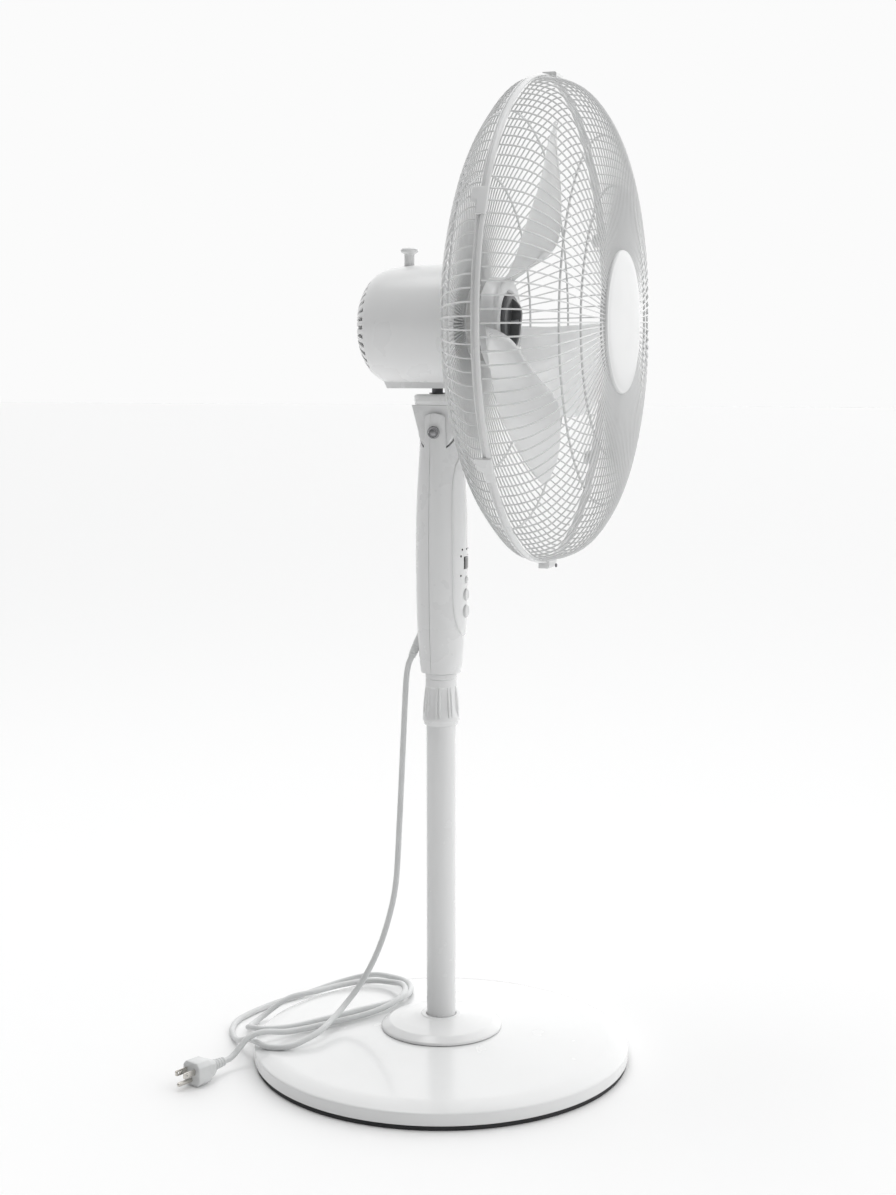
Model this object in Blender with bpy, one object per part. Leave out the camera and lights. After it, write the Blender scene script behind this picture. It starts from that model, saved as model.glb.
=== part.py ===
"""Pedestal fan, built as an assembly of separate parts.

Frame: +Z up, origin on the floor under the centre of the base, the fan blows towards -Y.
Units are metres. "Ahead" below means the distance along the fan axis towards -Y.
"""
import math

import bmesh
import bpy
from mathutils import Vector

# ---- driving dimensions --------------------------------------------------------------
GAP = 0.0003                  # between pieces that touch
RUN = 0.00008                 # radial clearance of a running shaft
FINE, COARSE, SMALL = 32, 18, 12   # sides of large, middling and small round pieces

BASE_R = 0.207
FOOT_R, FOOT_H = 0.2035, 0.005
RIM_H = 0.019                 # height of the base's straight edge
PLATEAU_R, PLATEAU_H = 0.190, 0.0225
CROWN_R, CROWN_H = 0.067, 0.035
BASE_WALL = 0.0025

POLE_R, POLE_WALL = 0.016, 0.0012
POLE_TOP = 0.398
INNER_R = 0.012
INNER_BOTTOM, INNER_TOP = 0.060, 0.470
COLLAR_TOP = 0.427

COLUMN_BOTTOM, COLUMN_TOP = 0.434, 0.713
COLUMN_WALL = 0.0026
SEAM_Y = 0.005
TILT_Z = 0.693
EAR_R = 0.020
TONGUE_HALF, TONGUE_R = 0.0185, 0.0192
TONGUE_ROOM = 0.0016     # the clear space round the tongue, which its spreading sides need when they tilt
SLOT_LOW = 0.6890                 # the column's front and back walls end here, under the tilt axis
CAP_R, CAP_LOW, CAP_HIGH = 0.028, 0.722, 0.733

PIVOT_Y = 0.004               # oscillation axis, behind the pole axis
PIVOT_R = 0.006
FAN_Z = 0.807                 # height of the fan axis
MOTOR_R = 0.0645
MOTOR_BACK, MOTOR_FRONT = 0.085, 0.036
MOTOR_WALL = 0.0022
KNOB_Y = 0.0354

RING_AHEAD, RING_R = 0.118, 0.250
GUARD_BARS, GUARD_WALL = 20, 0.0022
BADGE_R, BADGE_AHEAD = 0.073, 0.200
BLADE_COUNT = 3
BLADE_BOW = 0.10                  # camber, as a share of the blade's depth
HUB_R = 0.048

LINK_POST = (0.017, -0.010)       # the link's fixed pivot on the neck
LINK_LOW, LINK_HIGH = 0.7350, 0.7364
CRANK_AT = (0.004, -0.0265)       # the crank's axis under the motor
CRANK_PIN = (0.008, 0.0)          # from the crank's axis to its pin

# name, height and radius of each push button
BUTTONS = (("power_button", 0.535, 0.0036), ("speed_button", 0.519, 0.0062), ("timer_button", 0.501, 0.0066))
DISPLAY_LOW, DISPLAY_HIGH, DISPLAY_HALF = 0.5470, 0.5600, 0.0060
LENS_Z = 0.655

CORD_R = 0.00325
GLAND_AT = (0.0, 0.0238, 0.470)   # the strain relief leaves the rear shell here, steeply down
GLAND_TURN = math.radians(115)

# (semi-width, semi-depth) of the column at each height
COLUMN_SECTIONS = (
    (COLUMN_BOTTOM, 0.0215, 0.0215), (0.452, 0.0225, 0.0240), (0.490, 0.0245, 0.0262),
    (0.550, 0.0255, 0.0272), (0.603, 0.0255, 0.0268), (0.640, 0.0250, 0.0250), (0.680, 0.0240, 0.0225),
    (COLUMN_TOP, 0.0235, 0.0215))

# radius and distance ahead of the pole axis, from the hub out to the rim
REAR_GUARD = ((0.030, 0.0385), (0.077, 0.0400), (0.120, 0.046), (0.155, 0.053), (0.162, 0.055),
              (0.205, 0.073), (0.232, 0.092), (0.244, 0.104), (0.2465, 0.111))
REAR_HOOPS = (0, 3, 7)
FRONT_GUARD = ((0.074, 0.1955), (0.080, 0.195), (0.118, 0.1922), (0.125, 0.1915), (0.170, 0.1862),
               (0.205, 0.1765), (0.232, 0.1585), (0.244, 0.1385), (0.2465, 0.1255))
FRONT_HOOPS = (0, 2, 7)

# each blade at some radii: its rear edge's turn in degrees and distance ahead, then its front edge's
BLADE_EDGES = (
    (0.0468, 25, 0.064, -26, 0.072), (0.062, 23, 0.069, -28, 0.104), (0.080, 20, 0.076, -30, 0.132),
    (0.105, 17, 0.083, -31, 0.145), (0.150, 11, 0.100, -30, 0.151), (0.185, 2, 0.115, -27, 0.149),
    (0.198, -5, 0.127, -24, 0.147), (0.204, -12, 0.137, -18, 0.144))

# the cord's route: out of the column, down behind it, then two loose loops and the plug
CORD_ROUTE = (
    (0.000, 0.0341, 0.4480), (0.000, 0.0360, 0.4439), (0.000, 0.0382, 0.4370), (0.000, 0.0402, 0.4240),
    (0.000, 0.0415, 0.4040), (0.000, 0.0440, 0.355), (0.001, 0.0490, 0.264), (0.000, 0.0530, 0.196),
    (0.000, 0.0610, 0.155), (0.000, 0.0750, 0.113), (-0.004, 0.0930, 0.076), (-0.022, 0.1070, 0.053),
    (-0.046, 0.1120, 0.0445),
    (-0.070, 0.1150, 0.0405), (-0.088, 0.1240, 0.0355), (-0.103, 0.1390, 0.0305), (-0.103, 0.1640, 0.0270),
    (-0.080, 0.1960, 0.0235), (-0.056, 0.2200, 0.0110), (-0.033, 0.2380, 0.0042), (-0.007, 0.2530, 0.0036),
    (0.028, 0.2580, 0.0036), (0.081, 0.2440, 0.0036), (0.128, 0.2180, 0.0050), (0.158, 0.1840, 0.0140),
    (0.163, 0.1460, 0.0250), (0.149, 0.1090, 0.0295), (0.122, 0.0820, 0.0338), (0.082, 0.0680, 0.0374),
    (0.046, 0.0740, 0.0385), (0.013, 0.0990, 0.0375), (-0.020, 0.1290, 0.0345), (-0.046, 0.1620, 0.0300),
    (-0.052, 0.1920, 0.0260), (-0.034, 0.2180, 0.0190), (0.000, 0.2340, 0.0060), (0.032, 0.2330, 0.0065),
    (0.056, 0.2110, 0.0230), (0.082, 0.1850, 0.0265), (0.110, 0.1610, 0.0285), (0.126, 0.1330, 0.0310),
    (0.118, 0.1040, 0.0350), (0.086, 0.0770, 0.0450), (0.054, 0.0640, 0.0465), (0.026, 0.0700, 0.0425),
    (-0.002, 0.0880, 0.0385), (-0.038, 0.1230, 0.0350), (-0.066, 0.1550, 0.0325), (-0.086, 0.1760, 0.0365),
    (-0.098, 0.1890, 0.0330), (-0.106, 0.1960, 0.0240), (-0.1130, 0.2005, 0.0170),
    (-0.1195, 0.2034, 0.0142), (-0.1257, 0.2058, 0.0140))
CORD_POINTS = 74
PLUG_AT = Vector((-0.1259, 0.2059, 0.0140))
PLUG_TO = Vector((-0.930, 0.360, 0.0)).normalized()

WHITE = (0.86, 0.86, 0.85, 1)
GREY = (0.45, 0.46, 0.46, 1)
DARK = (0.05, 0.05, 0.055, 1)
STEEL = (0.62, 0.62, 0.64, 1)
COPPER = (0.70, 0.34, 0.16, 1)
BRONZE = (0.75, 0.60, 0.30, 1)

BEHIND = {}                   # joint empties by name


# ---- small modelling tools --------------------------------------------------------------
def clear_scene():
    for item in list(bpy.data.objects):
        bpy.data.objects.remove(item, do_unlink=True)


def joint_empty(name, place, parent=None):
    """An empty on a joint's axis; what moves with the joint is parented to it."""
    empty = bpy.data.objects.new(name, None)
    bpy.context.collection.objects.link(empty)
    empty.location = Vector(place)
    if parent:
        empty.parent = BEHIND[parent][0]
        empty.location -= BEHIND[parent][1]
    BEHIND[name] = (empty, Vector(place))


def finish(name, mesh, origin, joint, color, rough=0.4, metal=0.0, smooth=True):
    """Link a mesh as a named object with its own material, under its joint's empty."""
    item = bpy.data.objects.new(name, mesh)
    bpy.context.collection.objects.link(item)
    item.location = Vector(origin)
    if joint:
        item.parent = BEHIND[joint][0]
        item.location -= BEHIND[joint][1]
    material = bpy.data.materials.new(name)
    material.use_nodes = True
    shader = material.node_tree.nodes["Principled BSDF"]
    shader.inputs["Base Color"].default_value = color
    shader.inputs["Roughness"].default_value = rough
    shader.inputs["Metallic"].default_value = metal
    mesh.materials.append(material)
    if smooth:
        mesh.shade_smooth()
        mesh.set_sharp_from_angle(angle=math.radians(35))
    return item


def to_mesh(name, bm):
    bmesh.ops.recalc_face_normals(bm, faces=bm.faces)
    mesh = bpy.data.meshes.new(name)
    bm.to_mesh(mesh)
    bm.free()
    return mesh


def turned(profile, sides=FINE, ahead=False, across=False):
    """Revolve a closed (radius, height) outline about Z, about the fan axis, or about X."""
    bm = bmesh.new()
    rings = []
    for radius, height in profile:
        ring = []
        for k in range(sides if radius > 0 else 1):
            angle = 2 * math.pi * k / sides
            u, v = radius * math.cos(angle), radius * math.sin(angle)
            if ahead:
                point = (u, -height, v)
            elif across:
                point = (height, u, v)
            else:
                point = (u, v, height)
            ring.append(bm.verts.new(point))
        rings.append(ring)
    for one, two in zip(rings, rings[1:] + rings[:1]):
        if len(one) == 1 and len(two) == 1:
            continue
        for k in range(sides):
            n = (k + 1) % sides
            corners = [one[k % len(one)], one[n % len(one)], two[n % len(two)], two[k % len(two)]]
            bm.faces.new(list(dict.fromkeys(corners)))
    return to_mesh("turned", bm)


def lofted(loops):
    """Skin closed loops of equal length and cap both ends."""
    bm = bmesh.new()
    rings = [[bm.verts.new(point) for point in loop] for loop in loops]
    for one, two in zip(rings, rings[1:]):
        for k in range(len(one)):
            n = (k + 1) % len(one)
            bm.faces.new((one[k], one[n], two[n], two[k]))
    bm.faces.new(rings[0])
    bm.faces.new(rings[-1])
    return to_mesh("lofted", bm)


def block(low, high, bevel=0.0):
    """A box between two corners, with its edges bevelled."""
    bm = bmesh.new()
    bmesh.ops.create_cube(bm, size=1.0)
    low, high = Vector(low), Vector(high)
    for vert in bm.verts:
        vert.co = Vector((low[i] + (high[i] - low[i]) * (vert.co[i] + 0.5) for i in range(3)))
    if bevel:
        bmesh.ops.bevel(bm, geom=list(bm.edges), offset=bevel, segments=2, affect="EDGES")
    return to_mesh("block", bm)


def extruded(outline, low, high, axis="X"):
    """Extrude a flat outline along X (outline in Y, Z) or along Z (outline in X, Y)."""
    loops = []
    for level in (low, high):
        if axis == "X":
            loops.append([(level, a, b) for a, b in outline])
        else:
            loops.append([(a, b, level) for a, b in outline])
    return lofted(loops)


def cutter(mesh, origin=(0, 0, 0), joint=None):
    item = bpy.data.objects.new("cutter", mesh)
    bpy.context.collection.objects.link(item)
    item.location = Vector(origin)
    if joint:
        item.parent = BEHIND[joint][0]
        item.location -= BEHIND[joint][1]
    item.hide_render = True
    item.display_type = "WIRE"
    return item


def carve(item, tool, operation="DIFFERENCE", solver="EXACT"):
    change = item.modifiers.new("carve", "BOOLEAN")
    change.operation = operation
    change.solver = solver
    change.object = tool


def ring_profile(inner, outer, low, high):
    return ((inner, low), (outer, low), (outer, high), (inner, high))


def arc(radius, start, end, steps, centre=(0.0, 0.0)):
    """Points along an arc, angles in degrees."""
    points = []
    for k in range(steps + 1):
        angle = math.radians(start + (end - start) * k / steps)
        points.append((centre[0] + radius * math.cos(angle), centre[1] + radius * math.sin(angle)))
    return points


def lattice(profile, wall, bars, bar_share, is_open):
    """A turned shell of even thickness about the fan axis, with some of its cells left open.

    profile runs from the hub out. Each bar is followed by a gap, and bar_share is the bar's part
    of the two. Column 2 * k is a bar and column 2 * k + 1 the gap after it; is_open(column, band)
    says which cells are missing.
    """
    columns = 2 * bars
    outer, inner = [], []
    for k, (radius, height) in enumerate(profile):
        before, after = profile[max(k - 1, 0)], profile[min(k + 1, len(profile) - 1)]
        along = Vector((after[0] - before[0], after[1] - before[1])).normalized()
        across = Vector((-along.y, along.x)) * wall / 2
        outer.append((radius + across.x, height + across.y))
        inner.append((radius - across.x, height - across.y))
    bm = bmesh.new()
    grids = []
    for side in (outer, inner):
        grid = []
        for k in range(columns):
            angle = 2 * math.pi * (k // 2 + (bar_share if k % 2 else 0) - bar_share / 2) / bars
            u, v = math.cos(angle), math.sin(angle)
            grid.append([bm.verts.new((r * u, -h, r * v)) for r, h in side])
        grids.append(grid)
    bands = len(profile) - 1

    def solid(column, band):
        return 0 <= band < bands and not is_open(column % columns, band)

    for i in range(columns):
        n = (i + 1) % columns
        for j in range(bands):
            if not solid(i, j):
                continue
            for grid in grids:
                bm.faces.new((grid[i][j], grid[n][j], grid[n][j + 1], grid[i][j + 1]))
            top, low = grids
            if not solid(i, j - 1):
                bm.faces.new((top[i][j], top[n][j], low[n][j], low[i][j]))
            if not solid(i, j + 1):
                bm.faces.new((top[i][j + 1], top[n][j + 1], low[n][j + 1], low[i][j + 1]))
            if not solid(i - 1, j):
                bm.faces.new((top[i][j], top[i][j + 1], low[i][j + 1], low[i][j]))
            if not solid(i + 1, j):
                bm.faces.new((top[n][j], top[n][j + 1], low[n][j + 1], low[n][j]))
    loose = [v for v in bm.verts if not v.link_faces]
    bmesh.ops.delete(bm, geom=loose, context="VERTS")
    return to_mesh("lattice", bm)


# ---- base -------------------------------------------------------------------------------
def make_base():
    top = ((CROWN_R + 0.002, CROWN_H), (0.110, 0.0325), (0.150, 0.0285), (PLATEAU_R, PLATEAU_H),
           (0.199, 0.0208), (BASE_R - 0.0015, RIM_H), (BASE_R, RIM_H - 0.0015), (BASE_R, FOOT_H + GAP))
    wall = BASE_WALL
    under = ((BASE_R - wall, FOOT_H + GAP), (BASE_R - wall, RIM_H - 0.004), (PLATEAU_R, PLATEAU_H - wall),
             (0.150, 0.0285 - wall), (CROWN_R, CROWN_H - wall), (POLE_R + 0.012, CROWN_H - wall),
             (POLE_R + 0.012, CROWN_H))
    finish("base_shell", turned(top + under, 40), (0, 0, 0), None, WHITE, 0.18)
    foot = ring_profile(BASE_R - 0.016, FOOT_R, 0.0, FOOT_H)
    finish("foot_ring", turned(foot, 40), (0, 0, 0), None, DARK, 0.8)
    weight = ring_profile(POLE_R + 0.016, BASE_R - 0.020, 0.0045, 0.0165)
    finish("base_weight", turned(weight, COARSE), (0, 0, 0), None, (0.25, 0.25, 0.26, 1), 0.7)
    bore = POLE_R + GAP
    socket = ((bore, 0.0060), (POLE_R + 0.0150, 0.0060), (POLE_R + 0.0150, 0.0180), (POLE_R + 0.0050, 0.0220),
              (POLE_R + 0.0035, 0.0410), (bore, 0.0410))
    finish("tube_socket", turned(socket, COARSE), (0, 0, 0), None, STEEL, 0.4, 0.8)
    cover = ((bore + 0.0005, 0.0500), (0.030, 0.0480), (0.058, 0.0430), (0.064, 0.0405), (CROWN_R, 0.0365),
             (CROWN_R, CROWN_H + GAP + 0.0004), (0.060, CROWN_H + GAP + 0.0004), (0.0565, 0.0408),
             (0.030, 0.0458), (bore + 0.0005, 0.0475))
    finish("hub_cover", turned(cover, FINE), (0, 0, 0), None, WHITE, 0.2)
    tube = ring_profile(POLE_R - POLE_WALL, POLE_R, 0.0225, POLE_TOP)
    finish("lower_tube", turned(tube, COARSE), (0, 0, 0), None, WHITE, 0.25)
    bolt = ((0, 0.0025), (0.011, 0.0025), (0.011, 0.0055), (0.004, 0.0058), (0.004, 0.0218), (0, 0.0218))
    finish("base_bolt", turned(bolt, COARSE), (0, 0, 0), None, STEEL, 0.4, 0.9)
    collet = ((INNER_R + GAP, 0.3990), (POLE_R - 0.0002, 0.3990), (POLE_R - 0.0002, 0.4100),
              (POLE_R - 0.0015, 0.4250), (INNER_R + GAP, 0.4250))
    finish("clamp_collet", turned(collet, COARSE), (0, 0, 0), None, (0.7, 0.7, 0.7, 1), 0.5)


def make_collar():
    """Clamping nut: a fluted cup above a flange, with a bore over the tube's top."""
    joint_empty("collar_turn", (0, 0, 0))
    bore = POLE_R + GAP
    loops = []
    for height, radius, depth in ((0.376, 0.0184, 0), (0.3803, 0.0190, 0), (0.3806, 0.0200, 0),
                                  (0.3843, 0.0200, 0), (0.3846, 0.0197, 0.0010), (0.396, 0.0195, 0.0010),
                                  (0.416, 0.0172, 0.0004), (0.4185, 0.0168, 0), (COLLAR_TOP, 0.0166, 0)):
        loop = []
        for k in range(FINE):
            angle = 2 * math.pi * k / FINE
            dip = depth if k % 6 in (1, 2, 3, 4) else 0.0
            loop.append(((radius - dip) * math.cos(angle), (radius - dip) * math.sin(angle), height))
        loops.append(loop)
    nut = finish("collar_nut", lofted(loops), (0, 0, 0), "collar_turn", WHITE, 0.25)
    carve(nut, cutter(turned(((0, 0.37), (bore, 0.37), (bore, 0.44), (0, 0.44)), FINE), joint="collar_turn"))


# ---- column -------------------------------------------------------------------------------
def column_loop(section, inset, start, end, steps):
    """Points on the column's rounded outline at one height, between two angles in degrees."""
    height, wide, deep = section
    points = []
    for k in range(steps + 1):
        angle = math.radians(start + (end - start) * k / steps)
        points.append(((wide - inset) * math.cos(angle), (deep - inset) * math.sin(angle), height))
    return points


def shell_mesh(start, end, outset=0.0, wall=COLUMN_WALL, sections=COLUMN_SECTIONS, steps=12):
    loops = []
    for section in sections:
        outer = column_loop(section, -outset, start, end, steps)
        inner = column_loop(section, wall - outset, end, start, steps)
        loops.append(outer + inner)
    return lofted(loops)


def ear_keeper():
    """Everything of the column that is kept: all of it below the ears, arches above."""
    outline = [(-0.05, 0.40), (0.05, 0.40), (0.05, 0.670), (0.0225, 0.682)]
    outline += arc(EAR_R, 0, 180, 12, (0.0, TILT_Z))
    outline += [(-0.0225, 0.682), (-0.05, 0.670)]
    return extruded(outline, -0.04, 0.04)


def make_column():
    joint_empty("height", (0, 0, 0))
    seam = math.degrees(math.asin(SEAM_Y / 0.027))
    rear_mesh = shell_mesh(seam + 0.7, 180 - seam - 0.7)
    rear = finish("column_rear_shell", rear_mesh, (0, 0, 0), "height", WHITE, 0.25)
    front_mesh = shell_mesh(180 - seam, 360 + seam)
    front = finish("column_front_shell", front_mesh, (0, 0, 0), "height", WHITE, 0.25)
    keeper = cutter(ear_keeper(), joint="height")
    slot = cutter(block((-0.0200, -0.05, SLOT_LOW), (0.0200, 0.05, 0.74)), joint="height")
    room = TONGUE_R + TONGUE_ROOM
    tongue_room = turned(((0, -0.0200), (room, -0.0200), (room, 0.0200), (0, 0.0200)), 48, across=True)
    swing_cut = cutter(tongue_room, (0, 0, TILT_Z), "height")
    bolt_bore = turned(((0, -0.04), (0.0043, -0.04), (0.0043, 0.04), (0, 0.04)), COARSE, across=True)
    bolt_cut = cutter(bolt_bore, (0, 0, TILT_Z), "height")
    for shell in (rear, front):
        carve(shell, keeper, "INTERSECT")
        carve(shell, slot)
        carve(shell, swing_cut)
        carve(shell, bolt_cut)
    exit_cut = turned(((0, -0.02), (0.0052, -0.02), (0.0052, 0.02), (0, 0.02)), COARSE, ahead=True)
    exit_tool = cutter(exit_cut, GLAND_AT, "height")
    exit_tool.rotation_euler = (GLAND_TURN, 0, 0)
    carve(rear, exit_tool)

    panel_sections = ((0.474, 0.0245, 0.0255), (0.490, 0.0245, 0.0262), (0.550, 0.0255, 0.0272),
                      (0.603, 0.0255, 0.0268), (0.640, 0.0250, 0.0250), (0.668, 0.0243, 0.0233))
    panel_mesh = shell_mesh(226, 314, 0.0016, 0.0013, panel_sections, 8)
    panel = finish("control_panel", panel_mesh, (0, 0, 0), "height", WHITE, 0.2)
    half = DISPLAY_HALF + GAP
    window = block((-half, -0.05, DISPLAY_LOW - GAP), (half, -0.0180, DISPLAY_HIGH + GAP))
    display_cut = cutter(window, joint="height")
    for item in (panel, front):
        carve(item, display_cut)
    glass = block((-DISPLAY_HALF, -0.0290, DISPLAY_LOW), (DISPLAY_HALF, -0.0240, DISPLAY_HIGH), 0.0003)
    finish("display_window", glass, (0, 0, 0), "height", (0.01, 0.01, 0.012, 1), 0.08)
    lens_cut = turned(((0, 0.018), (0.0040, 0.018), (0.0040, 0.04), (0, 0.04)), COARSE, ahead=True)
    lens = turned(((0, 0.0190), (0.0036, 0.0190), (0.0036, 0.0268), (0.0022, 0.0277), (0, 0.0280)),
                  SMALL, ahead=True)
    finish("remote_lens", lens, (0, 0, LENS_Z), "height", (0.25, 0.25, 0.26, 1), 0.15)
    lens_hole = cutter(lens_cut, (0, 0, LENS_Z), "height")
    for item in (panel, front):
        carve(item, lens_hole)
    make_buttons((panel, front))
    finish("control_board", block((-0.0130, -0.0168, 0.495), (0.0130, -0.0152, 0.632)),
           (0, 0, 0), "height", (0.05, 0.22, 0.10, 1), 0.5)
    inner_wall = INNER_R - 0.0012
    tube = ring_profile(inner_wall, INNER_R, INNER_BOTTOM, INNER_TOP)
    finish("inner_tube", turned(tube, COARSE), (0, 0, 0), "height", STEEL, 0.25, 1.0)
    plug = ring_profile(INNER_R + GAP, 0.0182, COLUMN_BOTTOM + 0.001, 0.4440)
    finish("column_ferrule", turned(plug, COARSE), (0, 0, 0), "height", (0.7, 0.7, 0.7, 1), 0.5)
    bolt = ((0, -0.0268), (0.0060, -0.0262), (0.0068, -0.0240 - GAP), (0.0040, -0.0240 - GAP),
            (0.0040, 0.0255), (0, 0.0255))
    finish("tilt_bolt", turned(bolt, COARSE, across=True), (0, 0, TILT_Z), "height", GREY, 0.35, 0.6)
    nut = ring_profile(0.0040 + RUN, 0.0068, 0.0240 + GAP, 0.0268)
    finish("tilt_nut", turned(nut, COARSE, across=True), (0, 0, TILT_Z), "height", GREY, 0.35, 0.6)
    gland = ((CORD_R + GAP, -0.0060), (0.0049, -0.0060), (0.0049, 0.0170), (0.0041, 0.0240),
             (CORD_R + GAP, 0.0240))
    boot = finish("cord_gland", turned(gland, SMALL, ahead=True), GLAND_AT, "height", WHITE, 0.4)
    boot.rotation_euler = (GLAND_TURN, 0, 0)


def make_buttons(walls):
    """Round push buttons in bores through the panel and the front shell."""
    for name, height, radius in BUTTONS:
        joint_empty(name + "_press", (0, -0.027, height), "height")
        bore = radius + 0.0004
        hole = turned(((0, 0.018), (bore, 0.018), (bore, 0.04), (0, 0.04)), COARSE, ahead=True)
        tool = cutter(hole, (0, 0, height), "height")
        for wall in walls:
            carve(wall, tool)
        profile = ((0, -0.0050), (radius, -0.0050), (radius, 0.0022), (radius - 0.0008, 0.0030), (0, 0.0034))
        finish(name, turned(profile, SMALL, ahead=True), (0, -0.027, height), name + "_press", WHITE, 0.3)


# ---- tilting neck ---------------------------------------------------------------------------
def make_neck():
    joint_empty("tilt", (0, 0, TILT_Z), "height")
    outline = [(CAP_R - 0.0015, CAP_LOW - GAP), (-CAP_R + 0.0015, CAP_LOW - GAP)]
    outline += arc(TONGUE_R, 180, 360, 16, (0.0, TILT_Z))
    tongue = extruded(outline, -TONGUE_HALF, TONGUE_HALF)
    bracket = finish("tilt_bracket", tongue, (0, 0, 0), "tilt", WHITE, 0.25)
    hole = turned(((0, -0.04), (0.0040 + RUN, -0.04), (0.0040 + RUN, 0.04), (0, 0.04)), COARSE, across=True)
    carve(bracket, cutter(hole, (0, 0, TILT_Z), "tilt"))
    socket = turned(((0, 0.7005), (0.0093, 0.7005), (0.0093, 0.74), (0, 0.74)), COARSE)
    carve(bracket, cutter(socket, (0, PIVOT_Y, 0), "tilt"))
    cap = finish("neck_cap", turned(((0, CAP_LOW), (CAP_R, CAP_LOW), (CAP_R + 0.0005, CAP_HIGH - 0.002),
                                     (CAP_R - 0.0015, CAP_HIGH), (0, CAP_HIGH)), FINE),
                 (0, 0, 0), "tilt", WHITE, 0.25)
    carve(cap, cutter(turned(((0, 0.71), (0.0093, 0.71), (0.0093, 0.75), (0, 0.75)), COARSE),
                      (0, PIVOT_Y, 0), "tilt"))
    bore = PIVOT_R / math.cos(math.pi / COARSE) + RUN
    bush = ring_profile(bore, 0.0090, 0.7010, CAP_HIGH)
    finish("pivot_bush", turned(bush, COARSE), (0, PIVOT_Y, 0), "tilt", BRONZE, 0.4, 0.8)
    shoulder = LINK_LOW - 0.0004
    post = ((0, CAP_HIGH + GAP), (0.0035, CAP_HIGH + GAP), (0.0035, shoulder), (0.0020, shoulder),
            (0.0020, LINK_HIGH + GAP), (0, LINK_HIGH + GAP))
    finish("link_post", turned(post, SMALL), (LINK_POST[0], LINK_POST[1], 0), "tilt", STEEL, 0.4, 0.9)


def make_swing_drive():
    """Crank disc under the motor and the link bar that ties it to the neck."""
    joint_empty("link_turn", (LINK_POST[0], LINK_POST[1], 0.735), "tilt")
    joint_empty("crank_turn", (CRANK_AT[0], CRANK_AT[1], 0.738), "swing")
    pin = Vector((CRANK_AT[0] + CRANK_PIN[0], CRANK_AT[1] + CRANK_PIN[1]))
    post = Vector(LINK_POST)
    along = (pin - post).normalized()
    start = math.degrees(math.atan2(along.y, along.x))
    outline = arc(0.0042, start + 90, start + 270, 10, post) + arc(0.0042, start - 90, start + 90, 10, pin)
    strip = extruded(outline, LINK_LOW, LINK_HIGH, "Z")
    bar = finish("link_bar", strip, (0, 0, 0), "link_turn", DARK, 0.4, 0.6)
    for centre, radius in ((post, 0.0020 + RUN), (pin, 0.0026)):
        hole = turned(((0, 0.73), (radius, 0.73), (radius, 0.74), (0, 0.74)), SMALL)
        carve(bar, cutter(hole, (centre.x, centre.y, 0), "link_turn"))
    disc = ((0, 0.7370), (0.0105, 0.7370), (0.0105, 0.7388), (0.0030, 0.7390), (0.0030, 0.7520), (0, 0.7520))
    crank = finish("crank_disc", turned(disc, SMALL), (*CRANK_AT, 0), "crank_turn", GREY, 0.4, 0.8)
    stub = ((0, LINK_HIGH + GAP), (0.0017, LINK_HIGH + GAP), (0.0017, 0.7380), (0, 0.7380))
    stud = cutter(turned(stub, SMALL), (pin.x, pin.y, 0), "crank_turn")
    carve(crank, stud, "UNION")


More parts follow.
